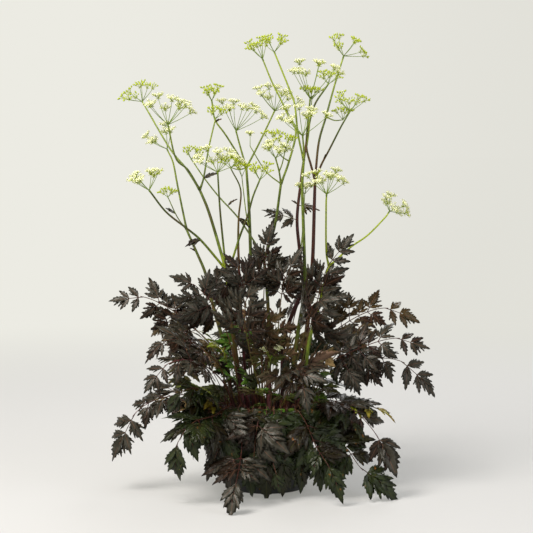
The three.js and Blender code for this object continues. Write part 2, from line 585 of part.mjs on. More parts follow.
// The first turn of a pinna that is clear of everything placed, or nothing. Its blade has room on both
// sides, and it touches what it grows from, which is its own node, only at its root.
function clearPinna(pinna, ownNode) {
  const thickness = BLADE + 2 * BLADE_CLEARANCE;
  return TURNS.map((turn) => turned(pinna, turn)).find((option) => {
    const free = { ...option, neck: null };
    const joint = option.neck ? blade(option, BLADE) : blade(free, thickness, 0.12 * option.length);
    return isClear(blade(free, thickness), ownNode) && isClear(joint);
  });
}

// Places along a frond where its stalk has a ring: up the bare stalk, and on both sides of each pair
function ringPlaces(curve, frond) {
  const { bare, pairs = 3 } = frond;
  const places = Array.from({ length: STALK_STEPS }, (_, i) => (bare * (i + 0.7)) / STALK_STEPS);
  for (let pair = 0; pair < pairs; pair++) {
    const [start, , end] = pairPlaces(curve, frond, pair);
    places.push(start, end);
  }
  return [...places, RACHIS_END];
}

// The rings of a frond's stalk, from its foot in the soil to the neck of its end leaf
function stalkRings(curve, frond) {
  const side = sideOf(curve, frond);
  const foot = curve.getPoint(0);
  const rings = [SOIL_TOP - FOOT_DEPTH, foot.z].map((z) => (
    { t: -1, corners: stalkCorners(point(foot.x, foot.y, z), UP, side, FOOT_HALF, FOOT_HALF) }));
  for (const t of ringPlaces(curve, frond)) rings.push({ t, corners: cornersOn(curve, side, t) });
  return rings;
}

// A whole frond in one skin: the stalk's side is left open at each neck, and the pinna's blade closes it
function frondSolid(curve, frond, pinnae) {
  const rings = stalkRings(curve, frond);
  const points = rings.flatMap(({ corners }) => corners);
  const triangles = [[0, 2, 1], [0, 3, 2]];
  const attach = (pinna, first, last) => {
    const { top, bottom, triangles: faces } = bladeFaces(pinna, BLADE);
    const inner = top.length - 2;
    const start = points.length;
    points.push(...top.slice(1, -1), ...bottom.slice(1, -1));
    const middle = Array.from({ length: inner }, (_, i) => start + i);
    const topIds = [first.top, ...middle, last.top];
    const bottomIds = [first.bottom, ...middle.map((id) => id + inner), last.bottom];
    triangles.push(...bladeTriangles(topIds, bottomIds, faces, false));
  };
  for (let ring = 0; ring + 1 < rings.length; ring++) {
    const lower = ring * 4;
    const upper = lower + 4;
    const middle = (rings[ring].t + rings[ring + 1].t) / 2;
    const here = pinnae.filter(({ t, side }) => side && Math.abs(t - middle) < 1e-6);
    const right = here.find(({ side }) => side === 1);
    const left = here.find(({ side }) => side === -1);
    triangles.push(...wall(lower, upper, 1, 2), ...wall(lower, upper, 3, 0));
    if (right) attach(right, { top: lower, bottom: lower + 1 }, { top: upper, bottom: upper + 1 });
    else triangles.push(...wall(lower, upper, 0, 1));
    if (left) attach(left, { top: upper + 3, bottom: upper + 2 }, { top: lower + 3, bottom: lower + 2 });
    else triangles.push(...wall(lower, upper, 2, 3));
  }
  const end = (rings.length - 1) * 4;
  const leaf = pinnae.find(({ side }) => side === 0);
  if (leaf) attach(leaf, { top: end, bottom: end + 1 }, { top: end + 3, bottom: end + 2 });
  else triangles.push([end, end + 1, end + 2], [end, end + 2, end + 3]);
  return solidFrom(points, triangles);
}

// The corners of a star of florets on its pointed outline
function starCorners(centre, normal, reference, radius) {
  const first = squareTo(reference, normal);
  const second = normal.clone().cross(first);
  return Array.from({ length: STAR_CORNERS }, (_, i) => {
    const angle = (2 * Math.PI * i) / STAR_CORNERS;
    const reach = i % 2 ? radius * STAR_WAIST : radius;
    const corner = centre.clone().addScaledVector(first, reach * Math.cos(angle));
    return corner.addScaledVector(second, reach * Math.sin(angle));
  });
}

// A ray by itself, with its star, to test what it would cross
function loneRay(hub, { way, end, normal, radius }) {
  const corners = starCorners(end, normal, BACKWARDS, radius + GAP);
  const apex = end.clone().addScaledVector(normal, STAR_HEIGHT + GAP);
  const below = end.clone().addScaledVector(normal, -GAP);
  const triangles = corners.flatMap((_, i) => {
    const next = 2 + ((i + 1) % STAR_CORNERS);
    return [[0, 2 + i, next], [1, next, 2 + i]];
  });
  const start = hub.clone().addScaledVector(way, 3 * HUB_RADIUS);
  const rings = [start, end].map((at) => ({ at, along: way, radius: RAY_RADIUS + GAP }));
  return { star: solidFrom([apex, below, ...corners], triangles), rod: tube(rings, BACKWARDS, 3) };
}

// The rays of an umbel, each aside from what it would cross, or nothing where it has no room
function clearRays(node, hub, { lean, rays, length, spread }, number) {
  const axis = unitOf(lean);
  const first = squareTo(BACKWARDS, axis);
  const second = axis.clone().cross(first);
  const found = [];
  for (let ray = 0; ray < rays; ray++) {
    const polar = THREE.MathUtils.degToRad(spread) * POLAR_SHARES[ray % POLAR_SHARES.length];
    const reach = length * (1 + LENGTH_SHAKE * shake(number, ray, 5));
    const options = [];
    for (const shift of SHIFTS) {
      const azimuth = (2 * Math.PI * (ray + 0.5 + AZIMUTH_SHAKE * shake(number, ray, 6) + shift)) / rays;
      const way = axis.clone().multiplyScalar(Math.cos(polar));
      way.addScaledVector(first, Math.sin(polar) * Math.cos(azimuth));
      way.addScaledVector(second, Math.sin(polar) * Math.sin(azimuth));
      const end = hub.clone().addScaledVector(way, reach);
      const normal = way.clone().add(axis).normalize();
      for (const radius of STAR_RADII) options.push({ way, end, normal, radius });
    }
    found.push(options.find((option) => {
      const { star, rod } = loneRay(hub, option);
      const free = isClear(star) && isClear(rod, node);
      if (free) place(node, star);
      if (free) place(node, rod);
      return free;
    }));
  }
  return found;
}

// An umbel in one skin: each side of the hub's pointed top is the root of a ray, and each ray ends in a star
function umbelSolid({ at, along, radius }, rays, axis) {
  const sides = rays.length;
  const reference = squareTo(BACKWARDS, axis);
  const top = at.clone().addScaledVector(along, HUB_LENGTH);
  const points = [...ringCorners({ at, along, radius }, reference, sides),
    ...ringCorners({ at: top, along, radius: HUB_RADIUS }, reference, sides)];
  const centre = points.length;
  points.push(top.clone().addScaledVector(along, HUB_RISE));
  const triangles = [];
  for (let i = 0; i < sides; i++) triangles.push(...wall(0, sides, i, (i + 1) % sides));
  for (let i = 1; i + 1 < sides; i++) triangles.push([0, i + 1, i]);
  rays.forEach((ray, i) => {
    const root = [centre, sides + i, sides + ((i + 1) % sides)];
    if (!ray) {
      triangles.push(root);
      return;
    }
    const middle = root.reduce((sum, id) => sum.add(points[id]), point(0, 0, 0)).divideScalar(3);
    const tips = root.map((id) => {
      const offset = squareTo(points[id].clone().sub(middle), ray.way);
      return ray.end.clone().addScaledVector(offset, RAY_RADIUS);
    });
    const start = points.length;
    points.push(...tips, ray.end.clone().addScaledVector(ray.normal, STAR_HEIGHT));
    points.push(...starCorners(ray.end, ray.normal, tips[0].clone().sub(ray.end), ray.radius));
    for (let side = 0; side < 3; side++) {
      const next = (side + 1) % 3;
      triangles.push([root[side], root[next], start + next], [root[side], start + next, start + side]);
    }
    const tipOf = (corner) => start + Math.floor((3 * (corner % STAR_CORNERS)) / STAR_CORNERS);
    for (let corner = 0; corner < STAR_CORNERS; corner++) {
      const a = start + 4 + corner;
      const b = start + 4 + ((corner + 1) % STAR_CORNERS);
      triangles.push([start + 3, a, b], [tipOf(corner), b, a]);
      if (tipOf(corner) !== tipOf(corner + 1)) triangles.push([tipOf(corner), tipOf(corner + 1), b]);
    }
  });
  return solidFrom(points, triangles);
}

function meshOf(name, solid, material) {
  const { vertProperties, triVerts, numProp } = solid.getMesh();
  const geometry = new THREE.BufferGeometry();
  const places = new Float32Array((vertProperties.length / numProp) * 3);
  for (let i = 0; i < places.length; i++) places[i] = vertProperties[Math.floor(i / 3) * numProp + (i % 3)];
  geometry.setAttribute('position', new THREE.BufferAttribute(places, 3));
  geometry.setIndex(new THREE.BufferAttribute(triVerts, 1));
  geometry.computeVertexNormals();
  const mesh = new THREE.Mesh(geometry, material);
  mesh.name = name;
  return mesh;
}

function joined(solids) {
  return solids.reduce((whole, solid) => whole.add(solid));
}

// The tapered wall's outer radius at a height
function wallRadius(height) {
  return BASE_RADIUS + ((RIM_RADIUS - COLLAR_STEP - BASE_RADIUS) * height) / POT_HEIGHT;
}

function potSolid() {
  const collar = POT_HEIGHT - COLLAR_HEIGHT;
  const inner = (height) => wallRadius(height) - POT_WALL;
  const profile = [[0, 0], [BASE_RADIUS - 1.5, 0], [wallRadius(1.5), 1.5], [wallRadius(collar), collar],
    [RIM_RADIUS - 0.6, collar + 1], [RIM_RADIUS, collar + 3], [RIM_RADIUS, POT_HEIGHT - 1],
    [RIM_RADIUS - 1, POT_HEIGHT], [inner(POT_HEIGHT), POT_HEIGHT], [inner(POT_FLOOR), POT_FLOOR],
    [0, POT_FLOOR]];
  const lathe = new THREE.LatheGeometry(profile.map(([r, z]) => new THREE.Vector2(r, z)), POT_SIDES);
  lathe.rotateX(Math.PI / 2);
  let pot = solidFromGeometry(lathe);
  for (let i = 0; i < DRAINS; i++) {
    const angle = (2 * Math.PI * (i + 0.5)) / DRAINS;
    const drain = new THREE.CylinderGeometry(DRAIN_RADIUS, DRAIN_RADIUS, 3 * POT_FLOOR, 6);
    drain.rotateX(Math.PI / 2);
    drain.translate(DRAIN_RING_RADIUS * Math.cos(angle), DRAIN_RING_RADIUS * Math.sin(angle), POT_FLOOR / 2);
    pot = pot.subtract(solidFromGeometry(drain));
  }
  return pot;
}

function soilSolid() {
  const inner = (height) => wallRadius(height) - POT_WALL - GAP;
  const floor = POT_FLOOR + GAP;
  const profile = [[0, floor], [inner(floor), floor], [inner(SOIL_TOP), SOIL_TOP], [0, SOIL_TOP]];
  const lathe = new THREE.LatheGeometry(profile.map(([r, z]) => new THREE.Vector2(r, z)), POT_SIDES);
  lathe.rotateX(Math.PI / 2);
  return solidFromGeometry(lathe);
}

// A plain hole in the soil around a stem's foot, with the same corners as the foot
function stemHole(foot, radius) {
  const rings = [SOIL_TOP - FOOT_DEPTH - GAP, SOIL_TOP + 1].map((z) => (
    { at: point(foot.x, foot.y, z), along: UP, radius: radius + 1.4 * GAP }));
  return tube(rings, BACKWARDS, STEM_SIDES);
}

// The same around a frond's foot
function stalkHole(curve, frond) {
  const foot = curve.getPoint(0);
  const half = FOOT_HALF + GAP;
  const points = [SOIL_TOP - FOOT_DEPTH - GAP, SOIL_TOP + 1].flatMap((z) => (
    stalkCorners(point(foot.x, foot.y, z), UP, sideOf(curve, frond), half, half)));
  const walls = [0, 1, 2, 3].flatMap((i) => wall(0, 4, i, (i + 1) % 4));
  return solidFrom(points, [[0, 2, 1], [0, 3, 2], [4, 5, 6], [4, 6, 7], ...walls]);
}

const plant = new THREE.Group();
plant.name = 'potted_cow_parsley';
const pot = potSolid();
let soil = soilSolid();
place('pot', pot);

const solids = {};
const hubs = {};
const numberOf = (name) => Number(name.match(/\d+/)[0]);

// Stems and their forks
for (const [name, { branches }] of Object.entries(STEMS)) {
  solids[name] = branches.map(({ path, radii, umbel }, index) => {
    const rooted = index === 0;
    const curve = curveThrough(path);
    const steps = rooted ? path.length : path.length - 1;
    if (rooted) soil = soil.subtract(stemHole(curve.getPoint(0), radii[0]));
    if (umbel) hubs[umbel] = { end: curve.getPoint(1), along: tangentOn(curve, 1), radius: radii[1] };
    return tube(stemRings(curve, steps, radii, rooted), BACKWARDS, rooted ? STEM_SIDES : BRANCH_SIDES);
  });
  for (const solid of solids[name]) place(name, solid);
}

// Small leaves on the stems, and the buds that have not opened into umbels
for (const [name, { branches, leaves = [] }] of Object.entries(STEMS)) {
  for (const { at, way, length, cut = 1 } of leaves) {
    const direction = unitOf(way);
    const root = point(...at).addScaledVector(direction, -2);
    const up = squareTo(point(0.1, -0.6, 0.8), direction);
    const leaf = clearPinna({ root, direction, up, length, leaflets: cut, broad: false }, name);
    if (leaf) {
      solids[name].push(blade(leaf, BLADE));
      place(name, solids[name].at(-1));
    }
  }
  branches.forEach(({ path, radii, bud, rays: count = 4 }, index) => {
    if (!bud) return;
    const curve = curveThrough(path);
    const along = tangentOn(curve, 1);
    const at = curve.getPoint(1).addScaledVector(along, -1);
    const lean = [0, 0, 1];
    const hub = at.clone().addScaledVector(along, HUB_LENGTH);
    const head = { lean, rays: count, length: bud, spread: BUD_SPREAD };
    const rays = clearRays(name, hub, head, BUD_NUMBERS + numberOf(name) + index);
    solids[name].push(umbelSolid({ at, along, radius: radii[1] - 0.2 }, rays, unitOf(lean)));
  });
}

// Stalks of the fronds
const curves = {};
for (const [name, frond] of Object.entries(FRONDS)) {
  const curve = curveThrough(frond.path);
  curves[name] = curve;
  place(`${name} stalk`, frondSolid(curve, frond, []));
  soil = soil.subtract(stalkHole(curve, frond));
}
place('soil', soil);

// Umbels, each on a hub that sits on the end of its branch
for (const [name, umbel] of Object.entries(UMBELS)) {
  const { end, along, radius } = hubs[name];
  const at = end.clone().addScaledVector(along, GAP);
  const hub = at.clone().addScaledVector(along, HUB_LENGTH);
  const rays = clearRays(name, hub, umbel, numberOf(name));
  solids[name] = [umbelSolid({ at, along, radius }, rays, unitOf(umbel.lean))];
}

// Pinnae from the tip back, turned clear of what stands before them
for (const [number, [name, frond]] of Object.entries(FRONDS).entries()) {
  const pinnae = [];
  for (const pinna of pinnaeOf(frond, curves[name], number).reverse()) {
    const open = clearPinna(pinna, `${name} stalk`);
    if (open) {
      pinnae.push(open);
      place(name, blade(open, BLADE));
    }
  }
  solids[name] = [frondSolid(curves[name], frond, pinnae)];
}

plant.add(meshOf('pot', pot, MATERIALS.pot));
plant.add(meshOf('soil', soil, MATERIALS.soil));
for (const name of Object.keys(STEMS)) plant.add(meshOf(name, joined(solids[name]), MATERIALS.stem));
for (const name of Object.keys(UMBELS)) plant.add(meshOf(name, joined(solids[name]), MATERIALS.umbel));
for (const [name, { tone = 'dark' }] of Object.entries(FRONDS)) {
  plant.add(meshOf(name, joined(solids[name]), MATERIALS[tone]));
}

export default plant;
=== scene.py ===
"""A potted cow parsley with dark, finely cut leaves, for Blender 4.5.

The frame holds its pot, soil, flower stems, umbels and fronds as faceted solids. Here each of them is
replaced by a finer piece on the same skeleton: toothed leaflets, ribbed stalks, open florets and buds.
Lengths are in millimetres, and a mesh is turned to metres when it is made.
"""
import functools
import math

import bpy
import numpy as np
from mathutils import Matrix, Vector


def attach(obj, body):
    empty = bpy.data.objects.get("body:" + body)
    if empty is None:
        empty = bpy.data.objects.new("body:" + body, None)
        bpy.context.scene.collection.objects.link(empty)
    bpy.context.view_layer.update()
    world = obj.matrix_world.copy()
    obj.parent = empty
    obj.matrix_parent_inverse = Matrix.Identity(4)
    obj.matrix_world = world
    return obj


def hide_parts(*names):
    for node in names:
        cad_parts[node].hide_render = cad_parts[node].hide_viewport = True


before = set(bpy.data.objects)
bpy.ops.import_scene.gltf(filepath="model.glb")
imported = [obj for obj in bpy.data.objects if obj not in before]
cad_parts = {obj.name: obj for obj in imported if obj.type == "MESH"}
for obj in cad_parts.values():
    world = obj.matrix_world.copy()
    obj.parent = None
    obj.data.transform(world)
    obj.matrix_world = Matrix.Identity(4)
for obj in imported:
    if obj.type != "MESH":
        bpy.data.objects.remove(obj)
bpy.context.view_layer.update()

MM = 0.001
UP = np.array([0.0, 0.0, 1.0])
BACKWARDS = np.array([0.0, 1.0, 0.0])
GOLDEN_ANGLE = math.pi * (3 - math.sqrt(5))

# Pot and soil
POT_HEIGHT = 125
RIM_RADIUS = 85
BASE_RADIUS = 62.5
WALL_TAPER = 18.5
WALL = 2
FLOOR_THICKNESS = 2.5
COLLAR = 20
DRAIN_HOLES = 8
DRAIN_RING = 50
DRAIN_RADIUS = 5
SOIL_TOP = 112
SOIL_BOTTOM = 2.8
SOIL_GAP = 2.3

# The stalk of a frond leaves the soil's top by this much before it bends
FOOT_COLLAR = 2
# A stalk passes over the pot's rim at this height
RIM_PASS = 132
# Share of the stalk at which the end leaf starts
RACHIS_END = 0.76
# How a pinna arches along its rib and droops to its sides
ARCH = 0.16
DROOP = 0.22
# The lowest place of a leaf that lies on the floor, and how far leaves stay off the pot
FLOOR_CLEAR = 1.2
POT_CLEAR = 1.5
# From a stem's end to the point where its rays start, and from a ray's end to its star's tip in the frame
HUB_LENGTH = 3
STAR_HEIGHT = 1.9

# Slopes and shares of its length that a pinna may have been turned by to stand clear, the first being none
SLOPES = [(0, 0), (0, 0.25), (0, -0.25), (0.25, 0), (-0.25, 0), (0.25, 0.25), (-0.25, -0.25),
    (0.25, -0.25), (-0.25, 0.25), (0, 0.55), (0, -0.55), (0.5, 0), (-0.5, 0), (0, 1), (0, -1)]
SHARES = (1, 0.75, 0.55)
# Shifts that a ray may have been given round its umbel, as shares of the step between two rays
SHIFTS = (0, 0.25, -0.25)
# How far each ray of three leans out, as a share of the umbel's spread
POLAR_SHARES = (1, 0.5, 0.82)

# The first number of the shakes of each kind of piece, so that no two pieces are alike
INNER_PAIR_SEED = 50
YOUNG_SEED = 60
SHOOT_SEED = 70
STEM_LEAF_SEED = 90
SPRIG_SEED = 110
BUD_SEED = 40


def frond_facts(path, bare, span, face, pairs=3, sag=0.15, broad=False, tone="dark"):
    """What a frond is drawn from: its stalk's points, the share of it that is bare, its longest pinna, the
    way that it faces, its pairs of pinnae, how far they sag, whether its leaflets are broad, and its tone."""
    return {"path": path, "bare": bare, "span": span, "face": face, "pairs": pairs, "sag": sag,
        "broad": broad, "tone": tone}


def branch_facts(path, radii, umbel=0, bud=0, rays=4):
    """What a branch is drawn from: its points, its radius at each end, and the number of the umbel that it
    carries, or for a small umbel in bud the length of its rays and how many they are."""
    return {"path": path, "radii": radii, "umbel": umbel, "bud": bud, "rays": rays}


# The way that the upper sides of a frond face
FRONT = (-0.1, -0.85, 0.55)
LEFT_FRONT = (-0.35, -0.8, 0.5)
RIGHT_FRONT = (0.3, -0.8, 0.55)
BACK = (0.1, 0.65, 0.75)

FRONDS = {
    "frond_left_1": frond_facts([(-52, 8), (-72, 0, 202), (-128, -20, 271), (-192, -35, 310),
        (-250, -45, 307)], 0.46, 64, FRONT),
    "frond_left_2": frond_facts([(-40, -22), (-54, -60, 229), (-79, -80, 295), (-109, -100, 334),
        (-145, -120, 353)], 0.44, 72, LEFT_FRONT),
    "frond_left_3": frond_facts([(-60, -12), (-70, -50, 193), (-109, -90, 241), (-151, -125, 253),
        (-188, -140, 229)], 0.44, 64, LEFT_FRONT),
    "frond_left_4": frond_facts([(-50, -32), (-65, -80, 177), (-105, -130, 220), (-149, -165, 222),
        (-188, -185, 182)], 0.46, 66, LEFT_FRONT),
    "frond_left_5": frond_facts([(-66, 22), (-76, 60, 197), (-117, 80, 244), (-160, 95, 256),
        (-201, 105, 234)], 0.5, 60, FRONT, tone="bronze"),
    "frond_left_6": frond_facts([(-66, 8), (-87, -10, 145), (-150, -30, 152), (-206, -50, 129),
        (-249, -60, 54)], 0.46, 56, LEFT_FRONT),
    "frond_left_7": frond_facts([(-44, -46), (-62, -66, 138), (-82, -102, 132), (-115, -140, 126),
        (-139, -160, 90), (-143, -165, 38)], 0.42, 72, LEFT_FRONT, sag=0.3, broad=True, tone="green"),
    "frond_left_8": frond_facts([(-63, -26), (-74, -36, 135), (-84, -54, 152), (-110, -75, 171),
        (-138, -90, 164), (-159, -95, 134)], 0.5, 64, LEFT_FRONT, pairs=2, sag=0.3, broad=True,
        tone="green"),
    "frond_front_1": frond_facts([(-18, -60), (-26, -84, 137), (-37, -102, 112), (-39, -130, 76),
        (-47, -195, 40), (-57, -228, 6)], 0.62, 60, FRONT, pairs=2, broad=True),
    "frond_front_2": frond_facts([(2, -62), (2, -85, 136), (-6, -101, 109), (5, -115, 78), (16, -130, 42),
        (21, -135, 14)], 0.4, 68, FRONT, pairs=2, sag=0.3, broad=True, tone="green"),
    "frond_front_3": frond_facts([(38, -55), (45, -74, 137), (60, -92, 122), (77, -115, 86),
        (98, -150, 57), (116, -170, 18)], 0.44, 70, FRONT, sag=0.25, broad=True, tone="green"),
    "frond_front_4": frond_facts([(58, -34), (72, -46, 137), (90, -62, 112), (124, -90, 80),
        (154, -110, 44), (213, -120, 9)], 0.54, 60, RIGHT_FRONT, pairs=2, sag=0.2, broad=True,
        tone="green"),
    "frond_front_5": frond_facts([(64, -10), (80, -18, 139), (104, -34, 145), (141, -60, 131),
        (177, -85, 91), (202, -100, 34)], 0.42, 74, RIGHT_FRONT, sag=0.25, broad=True),
    "frond_front_6": frond_facts([(-32, -58), (-40, -78, 137), (-49, -94, 122), (-66, -108, 101),
        (-81, -118, 66), (-93, -125, 33)], 0.44, 64, FRONT, pairs=2, sag=0.25, broad=True, tone="green"),
    "frond_front_7": frond_facts([(-8, -66), (-8, -83, 137), (-14, -104, 118), (-18, -112, 90),
        (-20, -120, 60), (-24, -128, 30)], 0.4, 64, FRONT, pairs=2, sag=0.25, broad=True),
    "frond_right_1": frond_facts([(68, 4), (88, 4, 171), (142, 0, 202), (213, -15, 206), (278, -25, 156)],
        0.44, 64, RIGHT_FRONT, sag=0.3),
    "frond_right_2": frond_facts([(46, 21), (73, -10, 182), (132, -40, 223), (202, -60, 248),
        (257, -70, 235)], 0.44, 62, RIGHT_FRONT),
    "frond_right_3": frond_facts([(55, 43), (76, 34, 209), (127, 30, 260), (190, 30, 286),
        (252, 30, 268)], 0.42, 66, RIGHT_FRONT, sag=0, tone="bronze"),
    "frond_right_4": frond_facts([(24, -10), (53, -50, 228), (65, -75, 275), (76, -100, 308),
        (112, -125, 321)], 0.44, 72, RIGHT_FRONT),
    "frond_right_5": frond_facts([(61, 31), (72, 42, 142), (88, 60, 170), (125, 80, 211), (162, 95, 209),
        (196, 100, 161)], 0.46, 68, RIGHT_FRONT, tone="green"),
    "frond_centre_1": frond_facts([(14, -40), (32, -90, 163), (45, -130, 208), (54, -165, 194),
        (62, -190, 154)], 0.4, 72, FRONT),
    "frond_centre_2": frond_facts([(-8, -20), (-7, -50, 196), (-7, -75, 250), (2, -95, 278),
        (27, -110, 292)], 0.46, 60, FRONT, pairs=2, tone="bronze"),
    "frond_centre_3": frond_facts([(-22, 12), (-26, -5, 222), (-36, -20, 304), (-42, -35, 350),
        (-64, -50, 378)], 0.54, 62, FRONT),
    "frond_centre_4": frond_facts([(-6, 34), (-7, 25, 218), (-4, 20, 316), (-1, 10, 379), (7, 0, 427)],
        0.6, 54, FRONT, sag=0),
    "frond_centre_5": frond_facts([(12, 8), (17, 0, 221), (23, -10, 303), (34, -20, 349), (56, -30, 388)],
        0.54, 64, FRONT, sag=0),
    "frond_centre_6": frond_facts([(44, 8), (62, 10, 220), (80, 15, 292), (99, 10, 356), (138, 0, 411)],
        0.54, 62, FRONT, sag=0),
    "frond_centre_7": frond_facts([(-28, 40), (-30, 70, 212), (-47, 90, 293), (-68, 110, 316),
        (-103, 130, 323)], 0.54, 62, (0.1, -0.4, 0.9), sag=0),
    "frond_centre_8": frond_facts([(6, -24), (-18, -60, 194), (-32, -95, 265), (-31, -115, 314),
        (-13, -140, 339)], 0.5, 62, FRONT),
    "frond_back_1": frond_facts([(16, 64), (34, 110, 207), (57, 160, 286), (89, 200, 308),
        (137, 230, 279)], 0.46, 72, BACK),
    "frond_back_2": frond_facts([(-14, 60), (-28, 120, 189), (-39, 180, 232), (-46, 220, 236),
        (-54, 260, 196)], 0.44, 74, BACK),
    "frond_back_3": frond_facts([(-44, 48), (-53, 100, 175), (-105, 160, 200), (-132, 190, 179),
        (-159, 210, 115)], 0.4, 72, BACK, tone="green"),
    "frond_back_4": frond_facts([(36, 60), (41, 77, 138), (62, 104, 150), (92, 140, 140), (120, 165, 95),
        (130, 172, 50)], 0.42, 72, BACK, pairs=2, sag=0.2, broad=True, tone="green"),
    "frond_back_5": frond_facts([(0, 68), (2, 85, 138), (6, 113, 128), (2, 140, 90), (-4, 160, 52),
        (-8, 170, 20)], 0.42, 70, BACK, pairs=2, sag=0.2, broad=True),
    "frond_back_6": frond_facts([(-30, 62), (-38, 76, 138), (-50, 106, 142), (-72, 132, 125),
        (-92, 150, 85), (-100, 158, 45)], 0.42, 70, BACK, pairs=2, sag=0.2, broad=True, tone="green"),
}

# Where stems fork
FORK_1 = (-64, -25, 352)
FORK_2 = (-106, -10, 479)
FORK_3 = (-4, 35, 365)
FORK_4 = (23, 0, 488)
FORK_5 = (78, 20, 494)
FORK_6 = (58, -58, 526)
FORK_7 = (101, 35, 354)
FORK_8 = (-132, 95, 409)
FORK_9 = (-33, 70, 512)

# The branches of each stem, and its small leaves: where one sits, the way that it points and its length
STEMS = {
    "stem_1": ([
        branch_facts([(-37, -5), (-43, 0, 168), (-54, -10, 255), FORK_1], (5.4, 3.4)),
        branch_facts([FORK_1, (-77, -32, 369), (-103, -55, 402), (-123, -75, 421), (-154, -100, 448),
            (-177, -120, 480)], (2.4, 1.5), umbel=4),
        branch_facts([FORK_1, (-90, -20, 440), FORK_2], (2.8, 2.3)),
        branch_facts([FORK_2, (-129, 10, 513), (-156, 30, 545), (-200, 60, 617)], (2, 1.4), umbel=1),
        branch_facts([FORK_2, (-124, -25, 511), (-142, -45, 530), (-152, -70, 579)], (1.9, 1.4), umbel=2),
        branch_facts([FORK_2, (-100, -5, 498), (-92, 10, 546), (-82, 20, 590)], (1.8, 1.2), bud=14),
        branch_facts([FORK_1, (-66, -35, 372), (-72, -70, 447), (-75, -90, 506)], (2.2, 1.4), umbel=6),
        branch_facts([FORK_1, (-55, -30, 367), (-42, -50, 407), (-29, -75, 442), (-21, -90, 471),
            (-11, -100, 496)], (2.2, 1.4), bud=21, rays=6),
    ], [((-100, -5, 498), (0.6, -0.5, 0.8), 26), ((-103, -55, 402), (-0.9, -0.3, -0.1), 30),
        (FORK_1, (-0.5, -0.8, 0.3), 34)]),
    "stem_2": ([
        branch_facts([(5, 35), (4, 60, 182), (4, 50, 231), (2, 42, 296), FORK_3], (5, 3)),
        branch_facts([FORK_3, (7, 28, 397), (15, 18, 429), FORK_4], (2.7, 2.2)),
        branch_facts([FORK_4, (20, -20, 508), (15, -30, 527)], (1.7, 1.3), umbel=13),
        branch_facts([FORK_4, (36, 5, 524), (47, 15, 570), (36, 20, 594), (23, 25, 622), (8, 28, 652),
            (-5, 30, 684)], (2, 1.3), umbel=8),
        branch_facts([FORK_3, (-15, 45, 385), (-45, 65, 429), (-78, 85, 464), (-103, 95, 495),
            (-123, 100, 524)], (1.8, 1.1), bud=16),
    ], []),
    "stem_3": ([
        branch_facts([(27, 55), (29, 58, 230), (58, 55, 315), (55, 60, 368), (50, 65, 427), (56, 70, 487),
            (61, 72, 525), (75, 78, 605), (100, 80, 647)], (4.6, 1.6), bud=16, rays=5),
    ], [((50, 65, 427), (-0.9, -0.25, 0.35), 66)]),
    "stem_4": ([
        branch_facts([(50, 35), (66, 50, 248), (72, 35, 330), (75, 30, 372), (77, 22, 455), FORK_5],
            (5, 2.8)),
        branch_facts([FORK_5, (71, 15, 518), (64, 10, 545), (65, 5, 577), (69, 0, 620)], (2.2, 1.5),
            umbel=9),
        branch_facts([FORK_5, (84, 30, 553), (96, 42, 595), (111, 52, 649), (124, 60, 690)], (2.2, 1.4),
            umbel=10),
        branch_facts([FORK_5, (88, 0, 520), (99, -15, 542), (116, -45, 578), (128, -60, 600)], (2, 1.3),
            umbel=11),
    ], [((92, -5, 528), (0.6, -0.6, 0.2), 24)]),
    "stem_5": ([
        branch_facts([(33, 2), (49, 15, 236), (62, -5, 320), (61, -12, 350), (58, -30, 432),
            (56, -45, 489), FORK_6], (4.4, 2.4)),
        branch_facts([FORK_6, (58, -66, 541), (56, -80, 562)], (1.8, 1.4), umbel=12),
        branch_facts([FORK_6, (49, -55, 568), (44, -50, 613), (35, -45, 639), (13, -40, 693)], (1.8, 1.4),
            bud=21, rays=6),
    ], []),
    "stem_6": ([
        branch_facts([(62, 20), (67, 20, 219), (84, 30, 286), FORK_7], (4.2, 2.6)),
        branch_facts([FORK_7, (96, 15, 381), (93, -60, 454), (93, -75, 472)], (1.9, 1.4), umbel=14),
        branch_facts([FORK_7, (109, 38, 360), (137, 45, 384), (165, 52, 403), (193, 58, 431),
            (199, 60, 439)], (1.9, 1.3), umbel=15),
    ], [(FORK_7, (0.8, -0.5, -0.2), 28)]),
    "stem_7": ([
        branch_facts([(-54, 35), (-68, 45, 215), (-88, 60, 288), (-100, 75, 337), (-115, 85, 372),
            FORK_8], (4.2, 2.2)),
        branch_facts([FORK_8, (-147, 110, 479), (-155, 116, 519), (-164, 120, 539)], (1.9, 1.3), umbel=3),
        branch_facts([FORK_8, (-148, 104, 430), (-163, 110, 461)], (1.2, 0.9), bud=9),
    ], [((-115, 85, 372), (-0.6, -0.5, 0.4), 30)]),
    "stem_8": ([
        branch_facts([(-18, 45), (-19, 45, 215), (-24, 52, 313), (-27, 60, 406), (-29, 64, 455), FORK_9],
            (4.4, 2.4)),
        branch_facts([FORK_9, (-42, 72, 543), (-49, 75, 569)], (1.8, 1.4), umbel=5),
        branch_facts([FORK_9, (-13, 90, 550), (12, 110, 602)], (1.8, 1.4), umbel=7),
        branch_facts([FORK_9, (-38, 66, 520), (-65, 50, 564), (-83, 45, 590), (-88, 42, 619)], (1.7, 1.4),
            bud=19, rays=6),
    ], []),
    "stem_9": ([
        branch_facts([(-30, 20), (-39, 0, 254), (-44, -10, 359), (-45, -12, 402), (-44, -12, 438),
            (-41, -12, 479), (-56, -14, 512)], (3.2, 1.2), bud=12),
    ], [((-45, -12, 402), (-0.4, -0.8, 0.3), 24)]),
}

